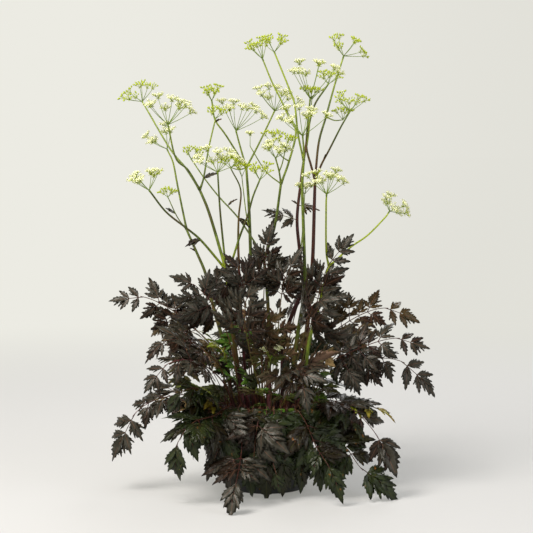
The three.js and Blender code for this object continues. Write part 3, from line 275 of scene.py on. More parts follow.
# The way that each umbel leans, its rays, their length and how far they spread in degrees
UMBELS = {
    1: ((-0.5, 0, 1), 8, 28, 68), 2: ((0.1, 0, 1), 9, 42, 58), 3: ((-0.6, 0, 1), 6, 34, 58),
    4: ((-0.3, 0, 1), 7, 28, 55), 5: ((0.25, 0, 1), 9, 45, 50), 6: ((0, 0, 1), 9, 36, 68),
    7: ((0.2, 0, 1), 9, 38, 60), 8: ((-0.4, 0, 1), 7, 28, 45), 9: ((0.05, 0, 1), 8, 54, 48),
    10: ((0.35, 0, 1), 8, 30, 72), 11: ((0.1, 0, 1), 7, 25, 62), 12: ((-0.1, 0, 1), 9, 42, 58),
    13: ((0.15, 0, 1), 7, 22, 62), 14: ((0, 0, 1), 9, 34, 58), 15: ((0.6, 0, 0.8), 7, 25, 78),
}

# How old the skin of each stem looks at some heights: 0 is lime green, 0.3 olive, 0.6 brown, 1 maroon; near
# 0.88 it is near-black, partly as painted shade in the crown
STEM_AGES = {
    "stem_1": ((114, 1), (175, 0.92), (205, 0.6), (285, 0.5), (318, 0.1), (365, 0.12), (430, 0.5),
        (560, 0.2)),
    "stem_2": ((114, 1), (165, 0.92), (195, 0.6), (300, 0.5), (400, 0.4), (600, 0.15)),
    "stem_3": ((114, 1), (200, 0.86), (450, 0.84), (600, 0.5), (680, 0.2)),
    "stem_4": ((114, 1), (170, 0.86), (200, 0.76), (480, 0.82), (560, 0.45), (680, 0.1)),
    "stem_5": ((114, 0.9), (200, 0.5), (430, 0.32), (680, 0.1)),
    "stem_6": ((114, 0.9), (180, 0.4), (300, 0.05), (480, 0)),
    "stem_7": ((114, 1), (200, 0.55), (400, 0.4), (560, 0.15)),
    "stem_8": ((114, 1), (200, 0.6), (400, 0.4), (620, 0.15)),
    "stem_9": ((114, 1), (300, 0.8), (480, 0.5), (540, 0.3)),
}

# Young leaves round the crown: azimuth in degrees and distance of the foot, azimuth, distance and height
# of the tip, the longest pinna and its tone
SPROUTS = [
    (250, 34, 262, 84, 150, 22, "fresh"), (285, 30, 276, 60, 172, 22, "fresh"),
    (225, 40, 214, 96, 205, 36, "fresh"), (235, 30, 205, 90, 232, 36, "fresh"),
    (310, 38, 322, 92, 190, 30, "dark"), (340, 36, 350, 92, 210, 38, "fresh"),
    (20, 44, 14, 98, 216, 38, "green"), (60, 40, 66, 92, 230, 40, "dark"),
    (100, 46, 104, 96, 216, 40, "green"), (135, 40, 128, 90, 236, 40, "dark"),
    (170, 44, 176, 96, 214, 38, "green"), (200, 36, 190, 80, 226, 36, "green"),
    (90, 28, 88, 60, 262, 40, "green"), (150, 30, 158, 72, 270, 38, "fresh"),
    (40, 30, 30, 76, 268, 38, "bronze"), (70, 20, 72, 70, 300, 40, "dark"),
    (110, 20, 124, 74, 306, 40, "bronze"), (268, 16, 270, 56, 242, 32, "green"),
    (300, 20, 296, 66, 258, 34, "bronze"), (240, 20, 236, 62, 272, 36, "dark"),
    (262, 58, 262, 108, 44, 66, "green"), (276, 60, 278, 110, 38, 68, "green"),
    (292, 58, 293, 110, 36, 62, "green"), (246, 58, 244, 108, 46, 62, "green"),
    (306, 60, 308, 112, 44, 60, "dark"), (228, 60, 226, 114, 42, 62, "green"),
    (210, 60, 208, 114, 52, 60, "green"), (326, 60, 327, 114, 48, 60, "green"),
    (70, 62, 72, 108, 88, 58, "green"), (108, 62, 110, 108, 84, 58, "dark"),
    (20, 62, 18, 110, 88, 58, "green"), (160, 62, 162, 110, 88, 58, "green"),
    (30, 52, 26, 92, 176, 40, "green"), (190, 52, 196, 94, 168, 40, "green"),
    (350, 50, 356, 96, 160, 38, "fresh"), (120, 50, 118, 92, 170, 42, "green"),
    (60, 52, 56, 94, 172, 42, "green"), (254, 44, 250, 78, 176, 32, "green"),
    (290, 46, 294, 84, 164, 30, "green"), (257, 62, 256, 118, 4, 62, "green"),
    (270, 64, 270, 120, 3, 62, "green"), (285, 62, 284, 122, 3, 62, "green"),
    (299, 62, 300, 120, 5, 60, "green"), (243, 62, 241, 122, 5, 60, "dark"),
    (314, 62, 315, 128, 6, 60, "green"), (264, 60, 263, 112, 20, 62, "green"),
    (280, 60, 277, 114, 18, 62, "green"), (206, 60, 205, 158, 92, 62, "green"),
    (220, 60, 219, 158, 66, 64, "green"), (232, 62, 232, 150, 48, 62, "dark"),
    (324, 60, 325, 154, 66, 62, "green"), (338, 60, 338, 168, 60, 62, "green"),
    (196, 58, 194, 150, 128, 56, "green"), (90, 62, 90, 116, 46, 60, "green"),
    (130, 62, 130, 118, 50, 60, "green"), (50, 62, 50, 118, 50, 60, "dark"),
    (0, 62, 0, 124, 56, 60, "green"), (180, 62, 180, 124, 56, 60, "green"),
    (196, 50, 190, 158, 252, 46, "tan"), (262, 34, 271, 94, 264, 34, "tan"),
    (330, 46, 338, 134, 230, 38, "tan"), (348, 52, 346, 214, 126, 42, "lime"),
    (194, 58, 192, 188, 152, 34, "tan"), (344, 48, 332, 120, 206, 34, "fresh"),
    (222, 40, 208, 118, 262, 38, "lime"), (250, 24, 226, 64, 204, 34, "fresh"),
    (262, 30, 250, 52, 196, 34, "green"), (240, 56, 236, 106, 112, 44, "green"),
    (264, 56, 265, 102, 112, 34, "fresh"), (277, 58, 277, 106, 106, 36, "green"),
    (291, 56, 292, 102, 112, 34, "fresh"), (252, 56, 250, 106, 108, 38, "green"),
    (212, 48, 208, 132, 152, 38, "lime"), (230, 50, 227, 110, 136, 34, "lime"),
    (206, 54, 203, 156, 138, 30, "tan"), (216, 46, 196, 118, 236, 34, "tan"),
    (330, 46, 324, 118, 150, 40, "green"), (342, 44, 336, 132, 176, 40, "green"),
    (328, 54, 331, 184, 90, 48, "green"), (340, 54, 344, 176, 122, 44, "green"),
    (205, 54, 204, 172, 92, 48, "green"), (215, 54, 213, 158, 74, 44, "green"),
    (188, 52, 186, 166, 238, 38, "tan"), (196, 48, 198, 128, 262, 36, "tan"),
    (20, 52, 16, 148, 252, 36, "tan"), (200, 52, 202, 150, 176, 44, "lime"),
    (86, 40, 96, 60, 190, 40, "green"), (70, 36, 60, 66, 200, 40, "dark"),
    (120, 38, 136, 66, 196, 40, "green"), (300, 40, 310, 70, 214, 36, "green"),
]


def unit(vector):
    """The vector at length one."""
    vector = np.asarray(vector, float)
    return vector / np.linalg.norm(vector)


def square_to(direction, axis):
    """The part of a direction that is square to an axis, at length one."""
    return unit(direction - axis * np.dot(direction, axis))


def sides_of(axis):
    """Two directions square to an axis and to each other, the first of them backwards."""
    first = square_to(BACKWARDS, axis)
    return first, np.cross(axis, first)


def way_round(first, second, angle):
    """The direction at an angle from the first side towards the second."""
    return first * math.cos(angle) + second * math.sin(angle)


def shake(a, b=0, c=0, d=0):
    """A number from -1 to 1 that its whole-number arguments fix: the broken part of a large sine."""
    x = math.sin(a * 12.9898 + b * 78.233 + c * 37.719 + d * 9.131) * 43758.5453
    return 2 * (x - math.floor(x)) - 1


def path_points(path):
    """The path as an array. A point without a height stands just above the soil."""
    return np.array([p if len(p) == 3 else (*p, SOIL_TOP + FOOT_COLLAR) for p in path], float)


def on_curve(path, t):
    """Points of the Catmull-Rom curve through the path, at the shares t of its spans."""
    t = np.atleast_1d(np.asarray(t, float))
    ends = np.vstack([2 * path[0] - path[1], path, 2 * path[-1] - path[-2]])
    spans = len(path) - 1
    span = np.minimum((t * spans).astype(int), spans - 1)
    u = (t * spans - span)[:, None]
    a, b, c, d = (ends[span + k] for k in range(4))
    return 0.5 * (2 * b + (c - a) * u + (2 * a - 5 * b + 4 * c - d) * u**2 + (3 * b - a - 3 * c + d) * u**3)


def tangent_on(path, t):
    """The way that the curve runs at one share t, from two points close to it."""
    before, after = on_curve(path, [max(0, t - 0.002), min(1, t + 0.002)])
    return unit(after - before)


def wall_radius(height):
    """The pot's outer radius at a height: a straight taper."""
    return BASE_RADIUS + WALL_TAPER * height / POT_HEIGHT


def grid_faces(grid, closed=False):
    """Quads between the rows of a grid of point numbers, and between its last and first column if closed."""
    if closed:
        grid = np.hstack([grid, grid[:, :1]])
    corners = [grid[:-1, :-1], grid[:-1, 1:], grid[1:, 1:], grid[1:, :-1]]
    return np.stack(corners, -1).reshape(-1, 4)


def capped(count, sides):
    """Faces of a run of rings: quads round it, and a fan at each end to a point that follows the rings."""
    grid = np.arange(count * sides).reshape(count, sides)
    start, end = grid.size, grid.size + 1
    first_fan = np.stack([np.full(sides, start), np.roll(grid[0], -1), grid[0]], -1)
    last_fan = np.stack([np.full(sides, end), grid[-1], np.roll(grid[-1], -1)], -1)
    return [grid_faces(grid, True), first_fan, last_fan]


def lozenge(ring, top, bottom):
    """Points and faces of four points in a ring, closed by a point above and one below."""
    order = np.arange(4)
    following = np.roll(order, -1)
    over = np.stack([order, following, np.full(4, 4)], -1)
    under = np.stack([following, order, np.full(4, 5)], -1)
    return np.vstack([ring, top, bottom]), [over, under]


class Patchwork:
    """Gathers patches of points and faces into one mesh. Each point carries the numbers named here."""

    def __init__(self, *names):
        self.numbers = {name: [] for name in names}
        self.points = []
        self.corners = []
        self.sizes = []
        self.slots = []
        self.count = 0

    def add(self, points, faces, slot=0, **numbers):
        """Adds a patch. faces holds arrays of point numbers with a row for each face, and an array may come
        in a pair with its own material's place in the list."""
        for entry in faces:
            group, place = entry if isinstance(entry, tuple) else (entry, slot)
            self.corners.append((group + self.count).ravel())
            self.sizes.append(np.full(len(group), group.shape[1]))
            self.slots.append(np.full(len(group), place))
        for name, kept in self.numbers.items():
            kept.append(np.broadcast_to(numbers.get(name, 0.0), len(points)))
        self.points.append(points)
        self.count += len(points)

    def piece(self, name, materials, slot, nodes=(), smooth=True):
        """Makes the mesh and its object, which rides on the body, and stands for the named nodes."""
        points = np.vstack(self.points) * MM
        corners = np.concatenate(self.corners)
        sizes = np.concatenate(self.sizes)
        mesh = bpy.data.meshes.new(name)
        mesh.vertices.add(len(points))
        mesh.vertices.foreach_set("co", points.ravel())
        mesh.loops.add(len(corners))
        mesh.loops.foreach_set("vertex_index", corners.astype(np.int32))
        mesh.polygons.add(len(sizes))
        mesh.polygons.foreach_set("loop_start", (np.cumsum(sizes) - sizes).astype(np.int32))
        mesh.polygons.foreach_set("material_index", np.concatenate(self.slots).astype(np.int32))
        mesh.polygons.foreach_set("use_smooth", np.full(len(sizes), smooth))
        mesh.update(calc_edges=True)
        for attribute, kept in self.numbers.items():
            layer = mesh.attributes.new(attribute, "FLOAT", "POINT")
            layer.data.foreach_set("value", np.concatenate(kept).astype(np.float32))
        for material in materials:
            mesh.materials.append(material)
        made = bpy.data.objects.new(name, mesh)
        bpy.context.collection.objects.link(made)
        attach(made, "root")
        if nodes:
            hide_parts(*nodes)
        return made


def tube(patch, points, radii, sides, slot=0, ridges=0.0, **numbers):
    """A round stalk: rings of the given radii round the points, square to the run, closed by a point at each
    end. Each ring's first corner is kept beside the one before, so that the stalk doesn't twist. Corners
    stand out and in by turns, by the share ridges."""
    points = np.asarray(points, float)
    count = len(points)
    radii = np.broadcast_to(np.asarray(radii, float), count)
    runs = np.gradient(points, axis=0)
    runs /= np.linalg.norm(runs, axis=1)[:, None]
    side = square_to(BACKWARDS if abs(runs[0][1]) < 0.9 else UP, runs[0])
    firsts = []
    for run in runs:
        side = square_to(side, run)
        firsts.append(side)
    firsts = np.array(firsts)
    seconds = np.cross(runs, firsts)
    angles = np.arange(sides) * 2 * math.pi / sides
    swell = 1 + ridges * np.cos(angles * sides / 2)
    circle = firsts[:, None] * np.cos(angles)[:, None] + seconds[:, None] * np.sin(angles)[:, None]
    rings = points[:, None] + circle * swell[:, None] * radii[:, None, None]
    ends = np.stack([points[0] - runs[0] * radii[0] * 0.4, points[-1] + runs[-1] * radii[-1] * 0.4])
    carried = {}
    for name, value in numbers.items():
        along = np.broadcast_to(np.asarray(value, float), count)
        carried[name] = np.concatenate([np.repeat(along, sides), along[[0, -1]]])
    patch.add(np.vstack([rings.reshape(-1, 3), ends]), capped(count, sides), slot, **carried)


def node_points(name):
    """The places of a node's points in the frame, in millimetres."""
    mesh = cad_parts[name].data
    places = np.empty(len(mesh.vertices) * 3)
    mesh.vertices.foreach_get("co", places)
    return places.reshape(-1, 3) / MM


def linear(shade):
    """(red, green, blue, 1) in linear light of an sRGB hex value."""
    parts = [int(shade[i:i + 2], 16) / 255 for i in (1, 3, 5)]
    return tuple(v / 12.92 if v <= 0.04045 else ((v + 0.055) / 1.055) ** 2.4 for v in parts) + (1.0,)


def node(tree, kind, inputs=None, stops=(), **settings):
    """Adds a node. An input is a value or another node's output, and stops are a colour ramp's."""
    made = tree.nodes.new(kind)
    for name, value in settings.items():
        setattr(made, name, value)
    for name, value in (inputs or {}).items():
        if isinstance(value, bpy.types.NodeSocket):
            tree.links.new(value, made.inputs[name])
        else:
            made.inputs[name].default_value = value
    for number, (place, shade) in enumerate(stops):
        elements = made.color_ramp.elements
        element = elements[number] if number < 2 else elements.new(place)
        element.position = place
        element.color = linear(shade)
    return made


# Sockets of a colour mix
FACTOR, COLOUR_A, COLOUR_B, MIXED = 0, 6, 7, 2


def new_material(name):
    """An empty node material, its tree, and the place on the piece that its patterns follow."""
    material = bpy.data.materials.new(name)
    material.use_nodes = True
    tree = material.node_tree
    tree.nodes.clear()
    return material, tree, node(tree, "ShaderNodeTexCoord").outputs["Object"]


def layered(tree, ground, layers):
    """A ground shade under further layers, and the share that each layer covers. A layer is what steers it,
    where that sets in and where it is full, the most that the layer covers, its shade, and its onset."""
    colour = linear(ground)
    shares = []
    for steer, low, high, most, shade, onset in layers:
        share = node(tree, "ShaderNodeMapRange", {"Value": steer, "From Min": low, "From Max": high,
            "To Max": most}, interpolation_type=onset).outputs["Result"]
        colour = node(tree, "ShaderNodeMix", {FACTOR: share, COLOUR_A: colour, COLOUR_B: linear(shade)},
            data_type="RGBA").outputs[MIXED]
        shares.append(share)
    return colour, shares


def coated(tree, colour, roughness, gloss, relief, strength, depth):
    """Ends a skin: a bump from the relief, of that depth in millimetres, the shader and the output."""
    bump = node(tree, "ShaderNodeBump", {"Height": relief, "Strength": strength, "Distance": depth * MM})
    shader = node(tree, "ShaderNodeBsdfPrincipled", {"Base Color": colour, "Roughness": roughness,
        "Normal": bump.outputs["Normal"], **gloss})
    node(tree, "ShaderNodeOutputMaterial", {"Surface": shader.outputs[0]})


# Plant wax: it refracts less than glass does, and shines less than polished plastic
LEAF_WAX = {"IOR": 1.45, "Specular IOR Level": 0.26}
STALK_WAX = {"IOR": 1.45, "Specular IOR Level": 0.3}
# The place of the side veins among a leaf's layers
VEIN_LAYER = 3


def leaf_skin(name, shades, rib, roughness, vein_share, rust=None):
    """A leaf's skin: two shades in soft patches 14 mm wide, a third on some leaflets, mottling 1.5 mm wide, a
    coloured midrib, and faint side veins that are pressed in. An old leaf also has ragged rust-coloured
    blotches a few millimetres wide, on about one leaflet in five."""
    material, tree, place = new_material(name)
    patches = node(tree, "ShaderNodeTexNoise", {"Vector": place, "Scale": 1 / (14 * MM), "Detail": 2.0})
    mottle = node(tree, "ShaderNodeTexNoise", {"Vector": place, "Scale": 1 / (1.5 * MM), "Detail": 3.0})
    tone, vein, midrib = [node(tree, "ShaderNodeAttribute", attribute_name=carried).outputs["Fac"]
        for carried in ("tone", "vein", "rib")]
    layers = [(patches.outputs["Fac"], 0.38, 0.62, 1.0, shades[1], "LINEAR"),
        (tone, 0.3, 0.9, 1.0, shades[2], "SMOOTHSTEP"),
        (mottle.outputs["Fac"], 0.35, 0.7, 0.35, shades[3], "LINEAR"),
        (vein, 0.72, 1.0, vein_share, rib, "SMOOTHSTEP"),
        (midrib, 0.8, 1.0, 0.7, rib, "SMOOTHSTEP")]
    if rust:
        blots = node(tree, "ShaderNodeTexNoise", {"Vector": place, "Scale": 1 / (11 * MM), "Detail": 3.0})
        layers.append((blots.outputs["Fac"], 0.67, 0.74, 1.0, rust, "LINEAR"))
    colour, shares = layered(tree, shades[0], layers)
    sunk = node(tree, "ShaderNodeMath", {0: shares[VEIN_LAYER], 1: -1.2}, operation="MULTIPLY")
    relief = node(tree, "ShaderNodeMath", {0: sunk.outputs[0], 1: mottle.outputs["Fac"]}, operation="ADD")
    coated(tree, colour, roughness, LEAF_WAX, relief.outputs[0], 0.5, 0.4)
    return material


def stalk_skin(name, stops, roughness):
    """Skin of a living stalk, coloured by its age, with streaks along it, 3 mm wide and 12 mm long."""
    material, tree, place = new_material(name)
    drawn = node(tree, "ShaderNodeMapping", {"Vector": place, "Scale": (1.0, 1.0, 0.25)})
    streaks = node(tree, "ShaderNodeTexNoise", {"Vector": drawn.outputs["Vector"], "Scale": 1 / (3 * MM),
        "Detail": 3.0})
    age = node(tree, "ShaderNodeAttribute", attribute_name="age")
    shift = node(tree, "ShaderNodeMapRange", {"Value": streaks.outputs["Fac"], "From Min": 0.3,
        "From Max": 0.7, "To Min": -0.12, "To Max": 0.12})
    streaked = node(tree, "ShaderNodeMath", {0: age.outputs["Fac"], 1: shift.outputs["Result"]},
        operation="ADD")
    ramp = node(tree, "ShaderNodeValToRGB", {"Fac": streaked.outputs[0]}, stops)
    coated(tree, ramp.outputs["Color"], roughness, STALK_WAX, streaks.outputs["Fac"], 0.35, 0.3)
    return material


def plain_skin(name, shades, grain, roughness, depth=0.2, gloss=None):
    """Two shades mixed by a noise of that grain in millimetres, with a bump of that depth."""
    material, tree, place = new_material(name)
    noise = node(tree, "ShaderNodeTexNoise", {"Vector": place, "Scale": 1 / (grain * MM), "Detail": 4.0})
    layer = (noise.outputs["Fac"], 0.35, 0.65, 1.0, shades[1], "LINEAR")
    colour, _ = layered(tree, shades[0], [layer])
    coated(tree, colour, roughness, gloss or {}, noise.outputs["Fac"], 0.5, depth)
    return material


# Leaf with a waxy bloom over dark pigment: charcoal and glossy, with wine-red ribs
LEAF_DARK = leaf_skin("waxy_dark_leaf", ("#27251c", "#3d3b33", "#20140c", "#17160c"), "#6a4a3a", 0.35, 0.12)
# The lower side of a dark leaf has no bloom: a dull copper brown
UNDER_DARK = leaf_skin("copper_leaf_back", ("#332c1c", "#4a3e2a", "#6a5040", "#4c4428"), "#5e4232",
    0.55, 0.4)
# Leaf that the sun has turned bronze: warm brown, a little glossy
LEAF_BRONZE = leaf_skin("bronze_leaf", ("#352d18", "#4a3d22", "#2a1a0e", "#1c1810"), "#6a4028", 0.36, 0.3)
# Its lower side: matt tan
UNDER_BRONZE = leaf_skin("tan_leaf_back", ("#665236", "#766240", "#604834", "#7e7048"), "#74503a", 0.58, 0.4)
# Older leaf at the foot: dark green with a purple flush and some rust-coloured blotches
LEAF_GREEN = leaf_skin("aged_green_leaf", ("#1c230f", "#2b3518", "#21180c", "#11150a"), "#464622",
    0.3, 0.2, "#7a4c18")
# Its lower side: matt olive
UNDER_GREEN = leaf_skin("dull_leaf_back", ("#424e20", "#525c28", "#443622", "#646a34"), "#62462a", 0.6, 0.4)
# Young leaf inside the plant: still a fresh green, and a little lighter as painted light that shines through
# it
LEAF_FRESH_LIT = leaf_skin("fresh_leaf_painted_light", ("#2c4c12", "#42661a", "#464c1c", "#587a2a"), "#80903a", 0.38, 0.3)
# Leaf that ages to yellow, with rust-coloured blotches
LEAF_LIME = leaf_skin("yellowing_leaf", ("#66781a", "#868826", "#7a5c1e", "#98a034"), "#989048",
    0.45, 0.3, "#855218")
# Stalk skin: smooth and a little glossy, lime when young and maroon when old. Its near-black stop at 0.88 is
# partly the dark maroon of old stalks and partly painted shade, for the feet of stalks and stems in the crown
STALK = stalk_skin("living_stalk", ((0, "#99a826"), (0.25, "#68782a"), (0.42, "#3f4c18"), (0.6, "#54401f"),
    (0.74, "#46241a"), (0.88, "#2e1614"), (1, "#693539")), 0.45)
# Petals: thin, matt and creamy white
PETAL = plain_skin("petal", ("#f8f7da", "#e0e4a4"), 2, 0.6)
# The green parts of the flowers, soft and matt: lime in the buds, darker in the rays
FLOWER_GREEN = stalk_skin("flower_green", ((0, "#a6b426"), (0.5, "#9fae34"), (1, "#6a8026")), 0.5)
# Nursery pot: injection-moulded polypropylene, blue-black, dull from soil dust
POT_PLASTIC = plain_skin("moulded_polypropylene", ("#0c0d10", "#15171a"), 9, 0.4, 0.15, {"IOR": 1.49})
# Potting soil: moist peat, dark and crumbly
PEAT = plain_skin("moist_peat", ("#1d1510", "#3a2c20"), 2.5, 0.92, 1.0)
# Perlite in it: pale, chalky grains
PERLITE = plain_skin("perlite", ("#e2ddd0", "#c4bdae"), 1.5, 0.85, 0.4)

# Each tone's slot name and its materials: upper side, lower side and rib
TONES = {
    "dark": ("leaf_dark", [LEAF_DARK, UNDER_DARK, STALK]),
    "bronze": ("leaf_bronze", [LEAF_BRONZE, UNDER_BRONZE, STALK]),
    "green": ("leaf_green", [LEAF_GREEN, UNDER_GREEN, STALK]),
    "fresh": ("leaf_green", [LEAF_FRESH_LIT, LEAF_FRESH_LIT, STALK]),
    "tan": ("leaf_bronze", [UNDER_BRONZE, LEAF_BRONZE, STALK]),
    "lime": ("leaf_green", [LEAF_LIME, LEAF_LIME, STALK]),
}
UPPER, LOWER, RIB = 0, 1, 2
LEAF_NUMBERS = ("vein", "rib", "tone", "age")
FLOWER_SKINS = [PETAL, FLOWER_GREEN]
PETALS, GREENS = 0, 1

# The five columns of a leaflet's points, from one edge to the other
COLUMNS = np.array([-1, -0.5, 0, 0.5, 1])
# The highest value of a leaflet's bow, half its neck's width, and half its thickness at the midrib
BOW_TOP = 0.316
NECK = 0.3
HALF_THICKNESS = 0.3
# How far the blade rises between two veins, as a share of the leaflet's width
QUILT = 0.028
# A pair of teeth every so many millimetres, up to a length, after the first two pairs
MM_A_TOOTH = 9
LONGEST_TOOTHED = 60
# Leaflets of a pinna lie this far over each other, so that their skins don't meet
LEAFLET_STEP = 0.4

# Angle of a frond's first pinnae, how much it falls to the last, and how much shorter the last would be
PINNA_ANGLE = 62
ANGLE_FALL = 14
PINNA_TAPER = 0.52
# Half the thickness of a pinna's solid in the frame, and how close to a point of it counts as on it
SOLID_HALF = 0.45
ON_A_POINT = 0.3

# Fine and broad leaflets: shares of their length that they and their lobes are wide, how deep their notches
# are, the lengths from which they have one and two pairs of lobes, and how a pinna longer than a length is
# cut: where a pair of leaflets starts, its share of the length and its angle
FINE = {"width": 0.45, "lobe_width": 0.34, "notch": 0.25, "one_pair": 25, "two_pairs": 40,
    "cuts": ((50, ((0.14, 0.48, 58), (0.4, 0.42, 48))), (33, ((0.18, 0.48, 52),)), (0, ()))}
BROAD = {"width": 0.5, "lobe_width": 0.42, "notch": 0.2, "one_pair": 30, "two_pairs": math.inf,
    "cuts": ((64, ((0.16, 0.5, 52),)), (0, ()))}
# Pairs of side lobes of a leaflet: where one starts, its share of the length, its angle
TWO_LOBES = ((0.1, 0.56, 36), (0.32, 0.46, 29))
ONE_LOBE = ((0.16, 0.46, 32),)
# Where a pinna's own end leaflet starts: on an uncut pinna, and past its last pair of leaflets
UNCUT_START = 0.04
PAST_PAIR = 0.06
# A pinna's rib: how far along it runs, how deep below the blade, its radii and its steps
RIB_SHARE = 0.62
RIB_DEPTH = 0.15
RIB_RADII = (0.8, 0.35)
RIB_STEPS = 9

# A stalk's radius at its foot, the share of it that its sheath takes, its steps and its depth in the soil
STALK_RADIUS = 1.25
SHEATH_SHARE = 0.07
STALK_STEPS = 26
STALK_SINK = 4
# How old a frond's stalk looks at some shares of its length, and the red of one that lies in the sun. At its
# foot it takes the near-black stop, partly painted shade of the crown
STALK_AGES = ((0, 0.87), (0.06, 0.82), (0.2, 0.64), (1, 0.82))
RED_AGE = 0.76
# How much of the way to that red the stalks of broad fronds go
BROAD_REDDER = 0.7
OLD_RIB_AGE = 0.84
YOUNG_RIB_AGE = 0.5
# A broad frond's inner pair: how far below the first one it starts, and its share of the longest pinna
INNER_STEP = 0.17
INNER_SHARE = 0.72
INNER_ORDER = 20
# How far a young stalk bows up, as a share of its rise, and how far it stays over the rim that it passes
YOUNG_BOW = 0.22
RIM_SPARE = 8
# Young leaves that hang over the pot's rim, and those that stand up
HANGING = {"kind": BROAD, "bare": 0.56, "outwards": 1.6, "rib_age": 0.72, "thick": 0.7, "redder": 0.8}
UPRIGHT = {"kind": FINE, "bare": 0.5, "outwards": 0.6, "rib_age": YOUNG_RIB_AGE, "thick": 0.6, "redder": 0}


@functools.lru_cache(maxsize=None)
def leaflet_faces(teeth):
    """Faces of a leaflet. Above it is a grid of rows of five points, from a neck of three to the apex, and
    below it has the same edges and neck with one row of points under the midrib."""
    rows = 2 * teeth
    upper = 3 + np.arange((rows - 1) * 5).reshape(rows - 1, 5)
    apex = 3 + upper.size
    left, middle, right = 0, 1, 2
    lower = np.stack([upper[:, 4], apex + 1 + np.arange(rows - 1), upper[:, 0]], -1)
    lower = np.vstack([[right, middle, left], lower])
    faces = []
    for grid, slot in ((upper, UPPER), (lower, LOWER)):
        last = grid[-1]
        tip = np.stack([last[:-1], last[1:], np.full(len(last) - 1, apex)], -1)
        faces += [(grid_faces(grid), slot), (tip, slot)]
    first = upper[0]
    faces.append((np.array([[left, first[1], first[0]], [right, first[4], first[3]]]), UPPER))
    faces.append((np.array([[left, middle, first[2], first[1]], [middle, right, first[3], first[2]]]), UPPER))
    return faces


def leaflet_points(length, width, teeth, cut, keel, curl, roll, wave):
    """(along, across, height) of a leaflet's points on its upper and lower side, and their rows and columns.

    Its half width is a bow, width * (1-s) * s^0.7, that is full at each tooth and less by the share cut at
    each notch, more at every third one; a tooth leans towards the tip. The height is a keel and a roll that
    grow across it, a curl that grows with the square of the length, a wave at the edge, and a quilting
    between the veins."""
    row = np.arange(2 * teeth)[:, None]
    s = row / (2 * teeth)
    tooth = row % 2
    reach = np.abs(COLUMNS)
    deep = np.where(row % 6 == 4, 1.5, 1)
    half = 0.5 * width * (1 - s) * s ** 0.7 / BOW_TOP
    half = np.maximum(half * np.where(tooth, 1, 1 - cut * deep * reach**2), NECK)
    lean = 0.7 * s * (1 - s) * (1 - reach)
    along = length * (0.93 * s - lean + 0.8 / teeth * tooth * reach**2 * (1 - 0.7 * s))
    across = half * COLUMNS
    quilt = QUILT * width * (1 - tooth) * (reach == 0.5) * np.minimum(1, 4 * s)
    ripple = wave * np.sin(2 * math.pi * (1.6 * s + 0.3 * COLUMNS)) * reach
    height = keel * np.abs(across) + roll * across - curl * along**2 / length + quilt + ripple
    thick = HALF_THICKNESS * (1 - reach**2) * (4 * s * (1 - s)) ** 0.3
    apex = np.array([[length, 0.0, -curl * length]])
    sides = [np.stack(np.broadcast_arrays(along, across, height + sign * thick), -1) for sign in (1, -1)]
    places = np.vstack([sides[0][0, ::2], sides[0][1:].reshape(-1, 3), apex, sides[1][1:, 2]])
    vein = tooth * (1 - 0.35 * reach**2)
    rib = np.broadcast_to(1.0 * (reach == 0), (2 * teeth, 5))
    carried = [np.concatenate([grid[0, ::2], grid[1:].ravel(), [0.0], grid[1:, 2]]) for grid in (vein, rib)]
    return places, carried[0], carried[1]


def pinnae_of(frond, path, number):
    """The pinnae of a frond as drawn: pairs along the stalk, each with its root, direction, upper side and
    length, and the end leaf. They spread level with a line square to the frond's run and to its face."""
    pairs, bare = frond["pairs"], frond["bare"]
    face = unit(frond["face"])
    run = unit(on_curve(path, 1)[0] - on_curve(path, bare)[0])
    side = np.cross(run, square_to(face, run))
    found = []
    for pair in range(pairs):
        t = bare + (RACHIS_END - bare) * pair / pairs
        along = tangent_on(path, t)
        level = square_to(side, along)
        normal = np.cross(level, along)
        root = on_curve(path, t)[0]
        for hand in (1, -1):
            angle = math.radians(PINNA_ANGLE - ANGLE_FALL * pair / pairs)
            angle = angle + 0.14 * shake(number, pair, hand, 1)
            way = along * math.cos(angle) + level * hand * math.sin(angle)
            way = way + normal * 0.22 * shake(number, pair, hand, 2)
            direction = unit(way - UP * frond["sag"])
            up = square_to(normal, direction)
            up = unit(up + np.cross(direction, up) * 0.3 * shake(number, pair, hand, 3))
            length = frond["span"] * (1 - PINNA_TAPER * pair / pairs)
            length = length * (1 + 0.12 * shake(number, pair, hand, 4))
            found.append({"root": root, "direction": direction, "up": up, "length": length})
    root = on_curve(path, RACHIS_END)[0]
    reach = on_curve(path, 1)[0] - root
    found.append({"root": root, "direction": unit(reach), "up": square_to(face, unit(reach)),
        "length": float(np.linalg.norm(reach))})
    return found


def between(first, second):
    """A smaller pinna half way between two that follow each other on the same side of a stalk."""
    direction = unit(first["direction"] + second["direction"])
    return {"root": (first["root"] + second["root"]) / 2, "direction": direction,
        "up": square_to(first["up"] + second["up"], direction),
        "length": 0.36 * (first["length"] + second["length"])}


def turned(pinna, sideways, upwards, share):
    """The pinna leaning by two slopes, at a share of its length."""
    across = np.cross(pinna["direction"], pinna["up"])
    direction = unit(pinna["direction"] + across * sideways + pinna["up"] * upwards)
    up = square_to(pinna["up"], direction)
    return {"root": pinna["root"], "direction": direction, "up": up, "length": pinna["length"] * share}


def as_built(pinna, places):
    """The pinna turned as it is in the frame: the turn that puts its tip on one of the node's points."""
    options = [turned(pinna, *slope, share) for share in SHARES for slope in SLOPES]
    tips = []
    for option in options:
        tip = option["root"] + option["direction"] * option["length"]
        tip = tip + option["up"] * (SOLID_HALF - ARCH * option["length"])
        tips.append([tip[0], tip[1], max(tip[2], FLOOR_CLEAR + 2 * SOLID_HALF)])
    gaps = np.linalg.norm(np.array(tips)[:, None] - places[None], axis=2).min(axis=1)
    near = np.flatnonzero(gaps < ON_A_POINT)
    return options[near[0] if len(near) else int(gaps.argmin())]


